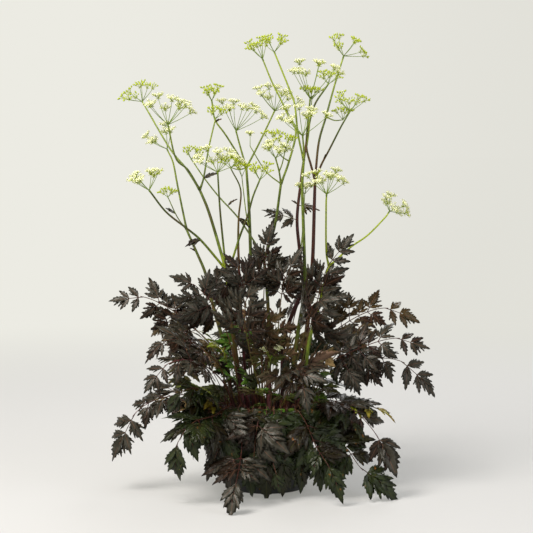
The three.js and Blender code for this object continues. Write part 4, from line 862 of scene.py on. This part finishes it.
def on_blade(pinna, u, v, height):
    """Points over a pinna's plane: u along its rib, v across. It drops as the square of u and as |v|^1.5."""
    length = pinna["length"]
    drop = ARCH * u**2 / length + DROOP * np.abs(v) ** 1.5 / math.sqrt(length)
    across = np.cross(pinna["direction"], pinna["up"])
    points = pinna["root"] + u[:, None] * pinna["direction"] + v[:, None] * across
    points = points + (height - drop)[:, None] * pinna["up"]
    points[:, 2] = np.maximum(points[:, 2], FLOOR_CLEAR + np.clip(height, 0, 0.8))
    return points


def beside_pot(points):
    """Points moved out to just beyond the pot's wall or rim where they would lie in it."""
    radius = np.maximum(np.hypot(points[:, 0], points[:, 1]), 1e-6)
    wall = np.where(points[:, 2] > POT_HEIGHT - COLLAR, RIM_RADIUS, wall_radius(points[:, 2])) + POT_CLEAR
    inside = (points[:, 2] < POT_HEIGHT + 1) & (radius < wall)
    scale = np.where(inside, wall / radius, 1)
    return np.stack([points[:, 0] * scale, points[:, 1] * scale, points[:, 2]], -1)


def leaflets_of(length, kind):
    """The leaflets of a pinna: (u, v, heading, length, width share), each in the pinna's plane. A large
    leaflet has pairs of side lobes that start on its midrib."""
    stalked = []
    last = UNCUT_START
    pairs = next(cut for least, cut in kind["cuts"] if length > least)
    for share, long, angle in pairs:
        for hand in (1, -1):
            stalked.append((length * share, 0.0, hand * math.radians(angle), length * long))
        last = share + PAST_PAIR
    stalked.append((length * last, 0.0, 0.0, length * (1 - last)))
    found = []
    for u, v, heading, long in stalked:
        found.append((u, v, heading, long, kind["width"]))
        if long < kind["one_pair"]:
            continue
        lobes = TWO_LOBES if heading == 0 or long > kind["two_pairs"] else ONE_LOBE
        for share, part, angle in lobes:
            at = (u + math.cos(heading) * long * share, v + math.sin(heading) * long * share)
            for hand in (1, -1):
                way = heading + hand * math.radians(angle)
                found.append((*at, way, long * part, kind["lobe_width"]))
    return found


def add_pinna(patch, pinna, number, order, kind, rib_age):
    """Adds a pinna: the thin rib that carries its leaflets, and each leaflet turned to its heading, laid on
    the blade and given a tone. Its length, teeth, bends and heading vary a little."""
    length = pinna["length"]
    u = np.linspace(0, RIB_SHARE * length, RIB_STEPS)
    rib = on_blade(pinna, u, np.zeros(RIB_STEPS), np.full(RIB_STEPS, -RIB_DEPTH))
    tube(patch, beside_pot(rib), np.linspace(*RIB_RADII, RIB_STEPS), 5, RIB, age=rib_age)
    for index, (u, v, heading, long, share) in enumerate(leaflets_of(length, kind)):
        wobble = [shake(number, order, index, k) for k in range(7, 12)]
        long = long * (1 + 0.08 * wobble[0])
        teeth = 2 + int(min(long, LONGEST_TOOTHED) / MM_A_TOOTH)
        cut = kind["notch"] + 0.05 * wobble[1]
        keel = 0.27 + 0.16 * wobble[2]
        curl = 0.1 + 0.14 * wobble[3]
        roll = 0.26 * wobble[4]
        wave = 0.02 * long
        places, vein, rib = leaflet_points(long, long * share, teeth, cut, keel, curl, roll, wave)
        way = heading + 0.07 * wobble[2]
        plane_u = u + places[:, 0] * math.cos(way) - places[:, 1] * math.sin(way)
        plane_v = v + places[:, 0] * math.sin(way) + places[:, 1] * math.cos(way)
        points = on_blade(pinna, plane_u, plane_v, places[:, 2] + LEAFLET_STEP * (index % 3))
        tone = np.clip(0.38 + 0.6 * shake(number, order, 12) + 0.25 * shake(number, order, index, 13), 0, 1)
        patch.add(beside_pot(points), leaflet_faces(teeth), vein=vein, rib=rib, tone=tone)


def add_stalk(patch, path, number, thick=1.0, redder=0.0):
    """Adds a frond's stalk: its radius falls evenly to the end leaf, and a bell curve adds the sheath at the
    soil. Its age runs through STALK_AGES, varies from stalk to stalk, and may be drawn towards red."""
    t = np.linspace(0, RACHIS_END + 0.02, STALK_STEPS)
    points = on_curve(path, t)
    foot = np.array([points[0][0], points[0][1], SOIL_TOP - STALK_SINK])
    points = np.vstack([foot, points])
    share = np.concatenate([[0], t / RACHIS_END])
    radii = thick * (STALK_RADIUS - 0.7 * share + 0.7 * np.exp(-((share / SHEATH_SHARE) ** 2)))
    age = np.interp(share, *zip(*STALK_AGES))
    age = age + 0.16 * shake(number, 3) * np.minimum(1, 8 * share)
    age = age + redder * (RED_AGE - age)
    tube(patch, points, radii, 10, ridges=0.06, age=age)


# One finer piece for each frond, and one for the stalks of all
stalks = Patchwork("age")
for number, (name, frond) in enumerate(FRONDS.items()):
    path = path_points(frond["path"])
    places = node_points(name)
    slot, materials = TONES[frond["tone"]]
    kind = BROAD if frond["broad"] else FINE
    patch = Patchwork(*LEAF_NUMBERS)
    pinnae = [as_built(pinna, places) for pinna in pinnae_of(frond, path, number)]
    smaller = [between(first, second) for first, second in zip(pinnae[:-3], pinnae[2:-1])]
    for order, pinna in enumerate(pinnae + smaller):
        add_pinna(patch, pinna, number, order, kind, OLD_RIB_AGE)
    if kind is BROAD:
        # One more pair, a smaller one, lies over the pot's rim
        inner = {**frond, "pairs": 1, "bare": frond["bare"] - INNER_STEP, "span": INNER_SHARE * frond["span"]}
        for order, pinna in enumerate(pinnae_of(inner, path, number + INNER_PAIR_SEED)[:2], INNER_ORDER):
            add_pinna(patch, pinna, number, order, BROAD, OLD_RIB_AGE)
    patch.piece(name + ".leaves", materials, slot, [name])
    add_stalk(stalks, path, number, redder=BROAD_REDDER if kind is BROAD else 0)
stalks.piece("frond_stalks", [STALK], "stem")

# Young leaves on thin stalks round the crown, one piece for each tone
young_stalks = Patchwork("age")
young = {}
for number, (azimuth, foot, tip_azimuth, reach, height, span, tone) in enumerate(SPROUTS, YOUNG_SEED):
    a, b = math.radians(azimuth), math.radians(tip_azimuth)
    # The stalk bows up at its middle, and one that hangs passes over the rim there
    low = np.array([foot * math.cos(a), foot * math.sin(a), SOIL_TOP + FOOT_COLLAR])
    high = np.array([reach * math.cos(b), reach * math.sin(b), height])
    middle = low * 0.5 + high * 0.5 + UP * (height - SOIL_TOP) * YOUNG_BOW
    habit = HANGING if height < RIM_PASS else UPRIGHT
    if habit is HANGING:
        middle[2] = RIM_PASS + RIM_SPARE
    path = np.vstack([low, middle, high])
    face = unit(UP + habit["outwards"] * unit([math.cos(b), math.sin(b), 0.2]))
    patch = young.setdefault(tone, Patchwork(*LEAF_NUMBERS))
    for order, pinna in enumerate(pinnae_of(frond_facts(path, habit["bare"], span, face, 2), path, number)):
        add_pinna(patch, pinna, number, order, habit["kind"], habit["rib_age"])
    add_stalk(young_stalks, path, number, habit["thick"], habit["redder"])
for tone, patch in young.items():
    patch.piece("young_leaves_" + tone, TONES[tone][1], TONES[tone][0])
young_stalks.piece("young_stalks", [STALK], "stem")

# A stem is a little slimmer than the faceted one, whose corners stand out
STEM_SHARE = 0.86
STEM_SINK = 5
# How much and over what length a stem swells at the soil, and a branch at its fork
ROOT_SWELL, ROOT_RUN = 0.3, 14
FORK_SWELL, FORK_RUN = 0.45, 7
BRACT_LENGTH, BRACT_WIDTH = 13, 1.5
# Umbels that are still in bud, and so have lime heads
IN_BUD = (1, 8, 10, 11)
BUD_SPREAD = 58
# How far a ray's end may lie from its star in the frame, and how far that star may reach at most and least
STAR_GAP = 0.5
STAR_REACH = 6.2
SMALLEST_STAR = 4.5
RAY_RADII = (0.6, 0.42)
RAY_STEPS = 7
PEDICEL_RADII = (0.3, 0.24, 0.24)
# An umbellet's flowers or buds, its radius as a share of its star's, and its bracts
OPEN_FLOWERS, OPEN_SHARE = 12, 1.5
BUDS, BUD_SHARE = 10, 1.2
BRACTS = 5
# The length and half width of a floret's calyx and of a bud
CALYX = (3.4, 0.95)
BUD = (5.0, 1.6)
STEM_LEAF_UP = np.array([0.1, -0.6, 0.8])
# A petal's outline: shares of its length outwards, to the side and up
PETAL_OUTLINE = ((0.12, 0, 0), (0.75, -0.42, 0.2), (0.86, 0, 0.42), (0.75, 0.42, 0.2))

# Leaves too small for the frame: where each leaves its stem, its way, its length and its tone
SPRIGS = [
    ((52, 67, 451), (0.95, -0.3, -0.1), 36, "bronze"), ((52, 67, 451), (-0.5, -0.5, 0.5), 17, "bronze"),
    ((-151, 105, 435), (-0.6, -0.5, 0.5), 24, "green"), ((-64, 77, 449), (0.5, -0.5, 0.7), 21, "bronze"),
    ((-47, 66, 431), (0.7, -0.5, -0.4), 26, "green"), ((-83, 19, 586), (0.8, -0.4, 0.5), 15, "green"),
]
# Small side shoots: where each leaves its stem, its tip, its rays and whether it is open
SHOOTS = [
    ((23, 0, 488), (-26, -6, 548), 1, True), ((36, 5, 524), (10, -8, 552), 4, False),
    ((20, -20, 508), (30, -30, 545), 4, False), ((-33, 70, 512), (-57, 66, 512), 3, True),
    ((96, 42, 595), (123, 34, 590), 4, False), ((64, 10, 545), (72, 0, 622), 5, False),
    ((4, 50, 195), (6, -62, 216), 5, True), ((-27, 60, 406), (-40, 52, 498), 3, False),
    ((55, 60, 368), (62, 48, 470), 4, True),
]
# A side shoot's radii and steps, the length of its rays and the radius of its umbellets
SHOOT_RADII = (1.3, 0.8)
SHOOT_STEPS = 12
SHOOT_RAY = 16
SHOOT_HEAD = 6.5


def add_pod(patch, start, way, side, length, width, slot=GREENS, age=0.0):
    """Adds a closed bud or bract: a lozenge of four sides from start along way, widest at its middle."""
    up = np.cross(way, side)
    middle = start + way * length * 0.5
    ring = middle + np.array([side * width, up * width * 0.6, -side * width, -up * width * 0.6])
    patch.add(*lozenge(ring, start + way * length, start), slot, age=age)


def add_branch(patch, path, radii, ages, rooted):
    """Adds a branch: it tapers evenly, has fine ridges, and swells in a bell curve where it leaves the soil
    or its fork."""
    t = np.linspace(0, 1, 8 * len(path))
    points = on_curve(path, t)
    widths = STEM_SHARE * np.interp(t, [0, 1], radii)
    if rooted:
        points = np.vstack([[points[0][0], points[0][1], SOIL_TOP - STEM_SINK], points])
        widths = np.concatenate([[radii[0]], widths])
        widths = widths * (1 + ROOT_SWELL * np.exp(-(((points[:, 2] - SOIL_TOP) / ROOT_RUN) ** 2)))
    else:
        gone = np.linalg.norm(points - points[0], axis=1)
        widths = widths * (1 + FORK_SWELL * np.exp(-((gone / FORK_RUN) ** 2)))
    skin_age = np.interp(points[:, 2], *zip(*ages))
    tube(patch, points, widths, 12 if rooted else 8, ridges=0.05, age=skin_age)
    if not rooted:
        # Two narrow bracts clasp the fork
        run = unit(points[2] - points[0])
        side = square_to(BACKWARDS, run)
        for hand in (1, -1):
            way = unit(run + 0.5 * hand * side)
            up = square_to(UP, run)
            add_pod(patch, points[0], way, up, BRACT_LENGTH, BRACT_WIDTH, 0, skin_age[0] * 0.7)


def add_floret(patch, centre, normal, first, size, spin):
    """Adds a floret: five closed petals, each a notched lozenge that bends up to its tip, round a green
    middle."""
    second = np.cross(normal, first)
    for petal in range(5):
        angle = spin + petal * 2 * math.pi / 5
        out = way_round(first, second, angle)
        side = np.cross(normal, out)
        reach = size * (1.25 if petal == 0 else 1.0)
        ring = [centre + out * reach * a + side * reach * b + normal * reach * c for a, b, c in PETAL_OUTLINE]
        middle = centre + out * reach * 0.55
        patch.add(*lozenge(ring, middle + normal * 0.3, middle - normal * 0.12), PETALS)
    knob = centre + np.array([first, second, -first, -second]) * size * 0.22
    patch.add(*lozenge(knob, centre + normal * size * 0.3, centre - normal * size * 0.2), GREENS, age=0)


def add_head(patch, end, normal, radius, seed, is_open):
    """Adds an umbellet at a ray's end: pedicels to florets or buds over a dome, each a golden angle on from
    the last and as far out as the square root of its order, and five bracts below."""
    first, second = sides_of(normal)
    count = OPEN_FLOWERS if is_open else BUDS
    for i in range(count):
        share = math.sqrt((i + 0.5) / count)
        angle = i * GOLDEN_ANGLE + seed
        out = way_round(first, second, angle)
        dome = 0.42 + 0.22 * share**2 + 0.1 * shake(seed, i)
        top = end + out * radius * share + normal * (1.5 + radius * dome)
        facing = unit(normal + out * 1.2 * share + 0.35 * second * shake(seed, i, 1))
        side = square_to(out, facing)
        tube(patch, [end, end * 0.45 + top * 0.55, top], PEDICEL_RADII, 3, GREENS, age=0.3)
        if is_open:
            add_pod(patch, top - facing * 3.2, facing, side, *CALYX)
            add_floret(patch, top, facing, side, 2.5 + 0.5 * share, angle)
        else:
            add_pod(patch, top - facing * 0.8, facing, side, *BUD)
    for i in range(BRACTS):
        angle = i * 2 * math.pi / BRACTS + seed
        out = way_round(first, second, angle)
        way = unit(out - normal * 0.1)
        add_pod(patch, end, way, unit(np.cross(out, normal)), radius * 0.55, 0.9, age=0.2)


def add_umbel(patch, name, at, along, radius, umbel, number, is_open):
    """Adds an umbel where the frame has its own: each ray goes to the star that the node has there."""
    places = node_points(name)
    lean, rays, length, spread = umbel
    hub = at + along * HUB_LENGTH
    axis = unit(lean)
    first, second = sides_of(axis)
    tube(patch, [at - along, at + along * 1.5, hub, hub + axis], [radius, radius, 1.5, 0.8], 8, GREENS, age=1)
    for ray in range(rays):
        polar = math.radians(spread) * POLAR_SHARES[ray % 3]
        reach = length * (1 + 0.12 * shake(number, ray, 5))
        best = None
        for shift in SHIFTS:
            azimuth = 2 * math.pi * (ray + 0.5 + 0.3 * shake(number, ray, 6) + shift) / rays
            way = axis * math.cos(polar)
            way = way + way_round(first, second, azimuth) * math.sin(polar)
            end = hub + way * reach
            normal = unit(way + axis)
            gap = np.linalg.norm(places - end - normal * STAR_HEIGHT, axis=1).min()
            if best is None or gap < best[0] - 0.2:
                best = (gap, way, end, normal)
        gap, way, end, normal = best
        if gap > STAR_GAP:
            continue
        away = np.linalg.norm(places - end, axis=1)
        size = max(away[away < STAR_REACH].max(), SMALLEST_STAR)
        bow = unit(way - axis * 0.2)
        middle = hub + (end - hub) * 0.5 + (bow - axis * np.dot(bow, axis)) * reach * 0.04
        points = on_curve(np.array([hub, middle, end]), np.linspace(0, 1, RAY_STEPS))
        tube(patch, points, np.linspace(*RAY_RADII, RAY_STEPS), 5, GREENS, age=1)
        add_head(patch, end, normal, (OPEN_SHARE if is_open else BUD_SHARE) * size, ray + number, is_open)


# One finer piece for each stem and each umbel; a stem's small umbels in bud are a piece of their own
stem_leaves = Patchwork(*LEAF_NUMBERS)
for order, (name, (branches, leaves)) in enumerate(STEMS.items(), 1):
    patch = Patchwork("age")
    small = Patchwork("age")
    for index, branch in enumerate(branches):
        path = path_points(branch["path"])
        add_branch(patch, path, branch["radii"], STEM_AGES[name], index == 0)
        end = on_curve(path, 1)[0]
        along = tangent_on(path, 1)
        radius = branch["radii"][1]
        number = branch["umbel"]
        if number:
            umbel = Patchwork("age")
            title = f"umbel_{number}"
            add_umbel(umbel, title, end + along * 0.3, along, radius, UMBELS[number], number,
                number not in IN_BUD)
            umbel.piece(title + ".flowers", FLOWER_SKINS, "umbel", [title])
        if branch["bud"]:
            head = ((0, 0, 1), branch["rays"], branch["bud"], BUD_SPREAD)
            add_umbel(small, name, end - along, along, radius - 0.2, head, BUD_SEED + order + index, False)
    patch.piece(name + ".stem", [STALK], "stem", [name])
    if small.count:
        small.piece(name + ".buds", FLOWER_SKINS, "umbel")
    for index, (at, way, length) in enumerate(leaves):
        way = unit(way)
        pinna = {"root": np.array(at, float) - 2 * way, "direction": way, "up": square_to(STEM_LEAF_UP, way),
            "length": length}
        pinna = as_built(pinna, node_points(name))
        add_pinna(stem_leaves, pinna, STEM_LEAF_SEED + order, index, FINE, YOUNG_RIB_AGE)
stem_leaves.piece("stem_leaves", TONES["dark"][1], "leaf_dark")

sprigs = {}
for index, (at, way, length, tone) in enumerate(SPRIGS):
    way = unit(way)
    patch = sprigs.setdefault(tone, Patchwork(*LEAF_NUMBERS))
    pinna = {"root": np.array(at, float), "direction": way, "up": square_to(STEM_LEAF_UP, way),
        "length": length}
    add_pinna(patch, pinna, SPRIG_SEED, index, FINE, YOUNG_RIB_AGE)
for tone, patch in sprigs.items():
    patch.piece("sprigs_" + tone, TONES[tone][1], TONES[tone][0])

shoots = Patchwork("age")
shoot_heads = Patchwork("age")
for number, (start, tip, rays, is_open) in enumerate(SHOOTS, SHOOT_SEED):
    start, tip = np.array(start, float), np.array(tip, float)
    bend = (start + tip) / 2 + np.array([0, 0, -0.12]) * np.linalg.norm(tip - start)
    path = np.vstack([start, bend, tip])
    tube(shoots, on_curve(path, np.linspace(0, 1, SHOOT_STEPS)), np.linspace(*SHOOT_RADII, SHOOT_STEPS), 6,
        age=0.25)
    first, second = sides_of(UP)
    for ray in range(rays):
        out = way_round(first, second, 2 * math.pi * (ray + 0.4 * shake(number, ray)) / rays)
        way = unit(UP + 0.9 * (rays > 1) * out)
        end = tip + way * (SHOOT_RAY + 3 * shake(number, ray, 1))
        tube(shoot_heads, [tip, (tip + end) / 2, end], [0.6, 0.5, 0.42], 5, GREENS, age=1)
        add_head(shoot_heads, end, unit(way + UP), SHOOT_HEAD, number + ray, is_open)
shoots.piece("side_shoots", [STALK], "stem")
shoot_heads.piece("side_shoot_flowers", FLOWER_SKINS, "umbel")


def lathe(profile, sides):
    """Points and faces of a profile of (radius, height) turned about the middle. It starts and ends there."""
    profile = np.asarray(profile, float)
    turning, poles = profile[1:-1], profile[[0, -1]]
    angles = np.arange(sides) * 2 * math.pi / sides
    rings = np.stack([turning[:, :1] * np.cos(angles), turning[:, :1] * np.sin(angles),
        np.repeat(turning[:, 1:], sides, 1)], -1)
    ends = np.array([[0, 0, poles[0][1]], [0, 0, poles[1][1]]])
    return np.vstack([rings.reshape(-1, 3), ends]), capped(len(turning), sides)


def rounded(centre, radius, start, stop, steps):
    """Points of an arc of a profile, between two angles in degrees."""
    angles = np.radians(np.linspace(start, stop, steps))
    return [(centre[0] + radius * math.cos(a), centre[1] + radius * math.sin(a)) for a in angles]


# The pot: flat base, tapered wall, rolled rim, then down the inside to its floor
inner = wall_radius(POT_HEIGHT) - WALL
POT_PROFILE = [(0, 0), (BASE_RADIUS - 4, 0), *rounded((BASE_RADIUS - 2, 2), 2, -90, -5, 5)]
POT_PROFILE += [(wall_radius(z), z) for z in (12, 30, 50, 70, 90, 103)]
POT_PROFILE += rounded((RIM_RADIUS - 1.2, 106.2), 1.2, -90, 0, 4)
POT_PROFILE += [(RIM_RADIUS, 112), (RIM_RADIUS, 118), *rounded((RIM_RADIUS - 1, 124), 1, 0, 90, 4)]
POT_PROFILE += rounded((inner + 1, 124), 1, 90, 180, 4)
POT_PROFILE += [(wall_radius(z) - WALL, z) for z in (110, 60, FLOOR_THICKNESS)]
POT_PROFILE += [(0, FLOOR_THICKNESS)]
pot_patch = Patchwork()
pot_patch.add(*lathe(POT_PROFILE, 96))
pot = pot_patch.piece("pot.shell", [POT_PLASTIC], "pot", ["pot"])

# Drain holes through the pot's floor, cut by round pins that reach PIN_SPARE past it. Edges stay crisp
PIN_SPARE = 2
CRISP_EDGE = 40
PIN_PROFILE = [(0, -PIN_SPARE), (DRAIN_RADIUS, -PIN_SPARE), (DRAIN_RADIUS, FLOOR_THICKNESS + PIN_SPARE),
    (0, FLOOR_THICKNESS + PIN_SPARE)]
pins = Patchwork()
for hole in range(DRAIN_HOLES):
    angle = (hole + 0.5) * 2 * math.pi / DRAIN_HOLES
    middle = np.array([DRAIN_RING * math.cos(angle), DRAIN_RING * math.sin(angle), 0])
    points, faces = lathe(PIN_PROFILE, 24)
    pins.add(points + middle, faces)
cutter = pins.piece("drain_pins", [POT_PLASTIC], "pot", smooth=False)
cut = pot.modifiers.new("drain_holes", "BOOLEAN")
cut.operation = "DIFFERENCE"
cut.object = cutter
drained = bpy.data.meshes.new_from_object(pot.evaluated_get(bpy.context.evaluated_depsgraph_get()))
pot.modifiers.clear()
drained.set_sharp_from_angle(angle=math.radians(CRISP_EDGE))
pot.data = drained
bpy.data.objects.remove(cutter)

# Soil: a top that waves as a sum of five sines (each x, y factor and shift), closed below
SOIL_RADIUS = wall_radius(SOIL_TOP) - SOIL_GAP
SOIL_WAVES = ((0.31, 0.12, 1), (-0.17, 0.42, 2), (0.53, -0.36, 3), (0.9, 0.7, 4), (-0.8, 1.1, 5))
soil_profile = [(0, SOIL_BOTTOM), (wall_radius(SOIL_BOTTOM) - SOIL_GAP - 0.3, SOIL_BOTTOM)]
soil_profile += [(SOIL_RADIUS * r, SOIL_TOP) for r in np.linspace(1, 0.03, 40)] + [(0, SOIL_TOP)]
points, faces = lathe(soil_profile, 120)
wide = np.hypot(points[:, 0], points[:, 1])
on_top = points[:, 2] > SOIL_TOP - 1
bumps = sum(np.sin(points[:, 0] * a + points[:, 1] * b + c) for a, b, c in SOIL_WAVES)
points[:, 2] += on_top * (0.55 * bumps - 0.6) * np.clip((SOIL_RADIUS - wide) / 4, 0, 1)
soil_patch = Patchwork()
soil_patch.add(points, faces)

# Crumbs and grains on it in a spiral: a top, five corners and a point below
CRUMBS = 420
PERLITE_EVERY = 9
CRUMB_SIZE = 2.1
PERLITE_SIZE = 1.5
CRUMB_TURN = 1.7
CRUMB = np.array([[0, 0, 1], [0.9, 0, 0.3], [0.2, 0.85, 0.4], [-0.8, 0.4, 0.3], [-0.6, -0.6, 0.35],
    [0.3, -0.9, 0.3], [0, 0, -0.8]])
fan = np.array([1, 2, 3, 4, 5])
crumb_faces = [np.stack([np.zeros(5, int), fan, np.roll(fan, -1)], -1),
    np.stack([np.full(5, 6), np.roll(fan, -1), fan], -1)]
for i in range(CRUMBS):
    radius = (SOIL_RADIUS - 3) * math.sqrt((i + 0.5) / CRUMBS)
    angle = i * GOLDEN_ANGLE
    centre = np.array([radius * math.cos(angle), radius * math.sin(angle), SOIL_TOP + 0.3 * shake(i, 1)])
    is_perlite = i % PERLITE_EVERY == 4
    size = (PERLITE_SIZE if is_perlite else CRUMB_SIZE) * (1 + 0.5 * shake(i, 2))
    cosine, sine = math.cos(i * CRUMB_TURN), math.sin(i * CRUMB_TURN)
    spun = CRUMB @ np.array([[cosine, sine, 0], [-sine, cosine, 0], [0, 0, 1]])
    soil_patch.add(spun * size + centre, crumb_faces, 1 if is_perlite else 0)
soil_patch.piece("soil.peat", [PEAT, PERLITE], "soil", ["soil"])

BACKDROP = "#ecebe3"
PAPER = "#c8c8cb"
FLOOR_RADIUS = 30
FLOOR_SIDES = 64
# Share of the floor near the plant that glows with the backdrop's colour: painted light that lightens its
# shadows
FLOOR_GLOW = 0.3
CEILING_SHARE = 0.35
CAMERA_PLACE = (0, -2.7, 0.578)
CAMERA_AIM = (0, 0, 0.356)
CAMERA_VIEW = 17.89
# Each lamp's place, the point that it faces, its size in metres, its power and its shade
LAMPS = {
    "key": ((-1.3, -1.5, 2.5), (0, 0, 0.3), 1.5, 122, "#fffaf0"),
    "fill": ((1.9, -1.4, 1.5), (0, 0, 0.3), 1.2, 15, "#f6f8ff"),
    "back": ((0.8, 2.2, 1.9), (0, 0, 0.4), 1.2, 30, "#ffffff"),
}


def dimmed(tree, direction):
    """The share of the backdrop's light in a direction: 1 at the left and less to the right."""
    parts = node(tree, "ShaderNodeSeparateXYZ", {"Vector": direction})
    return node(tree, "ShaderNodeMapRange", {"Value": parts.outputs["X"], "From Min": -0.12, "From Max": 0.2,
        "To Min": 1.0, "To Max": 0.9}, interpolation_type="SMOOTHSTEP").outputs["Result"]


def stand(name, data, place, aim):
    """Puts a lamp or the camera at a place, facing aim."""
    made = bpy.data.objects.new(name, data)
    made.location = place
    made.rotation_euler = (Vector(aim) - Vector(place)).to_track_quat("-Z", "Y").to_euler()
    bpy.context.collection.objects.link(made)
    return made


# The backdrop is a little darker towards the right, and the ceiling is darker than the walls
scene = bpy.context.scene
scene.view_settings.view_transform = "Standard"
scene.world = bpy.data.worlds.new("pale_studio")
scene.world.use_nodes = True
tree = scene.world.node_tree
sky = tree.nodes["Background"]
sky.inputs["Color"].default_value = linear(BACKDROP)
aim = node(tree, "ShaderNodeTexCoord").outputs["Generated"]
heights = node(tree, "ShaderNodeSeparateXYZ", {"Vector": aim})
ceiling = node(tree, "ShaderNodeMapRange", {"Value": heights.outputs["Z"], "From Min": 0.2,
    "From Max": 0.5, "To Min": 1.0, "To Max": CEILING_SHARE}, interpolation_type="SMOOTHSTEP")
strength = node(tree, "ShaderNodeMath", {0: ceiling.outputs["Result"], 1: dimmed(tree, aim)},
    operation="MULTIPLY")
tree.links.new(strength.outputs[0], sky.inputs["Strength"])

# Paper floor that fades into the backdrop's colour with distance. Near the plant too, 30% of it glows with
# that colour, a little dimmer to the right: painted light that lightens the shadows on the floor
floor_paper, tree, place = new_material("paper_floor_painted_glow")
distance = node(tree, "ShaderNodeVectorMath", {0: place}, operation="LENGTH")
fade = node(tree, "ShaderNodeMapRange", {"Value": distance.outputs["Value"], "From Min": 0.7, "From Max": 2.4,
    "To Min": FLOOR_GLOW}, interpolation_type="SMOOTHSTEP")
paper = node(tree, "ShaderNodeBsdfDiffuse", {"Color": linear(PAPER)})
outwards = node(tree, "ShaderNodeVectorMath", {0: place}, operation="NORMALIZE").outputs["Vector"]
glow = node(tree, "ShaderNodeEmission", {"Color": linear(BACKDROP), "Strength": dimmed(tree, outwards)})
mixed = node(tree, "ShaderNodeMixShader", {0: fade.outputs["Result"], 1: paper.outputs[0],
    2: glow.outputs[0]})
node(tree, "ShaderNodeOutputMaterial", {"Surface": mixed.outputs[0]})

floor_mesh = bpy.data.meshes.new("floor")
corners = np.arange(FLOOR_SIDES) * 2 * math.pi / FLOOR_SIDES
ring = [(FLOOR_RADIUS * math.cos(a), FLOOR_RADIUS * math.sin(a), 0) for a in corners]
floor_mesh.from_pydata(ring, [], [list(range(FLOOR_SIDES))])
floor_mesh.materials.append(floor_paper)
floor = bpy.data.objects.new("floor", floor_mesh)
bpy.context.collection.objects.link(floor)

for name, (place, aim, size, power, shade) in LAMPS.items():
    lamp = bpy.data.lights.new(name, "AREA")
    lamp.size = size
    lamp.energy = power
    lamp.color = linear(shade)[:3]
    stand(name, lamp, place, aim)

view = bpy.data.cameras.new("camera")
view.sensor_fit = "HORIZONTAL"
view.angle = math.radians(CAMERA_VIEW)
scene.camera = stand("camera", view, CAMERA_PLACE, CAMERA_AIM)
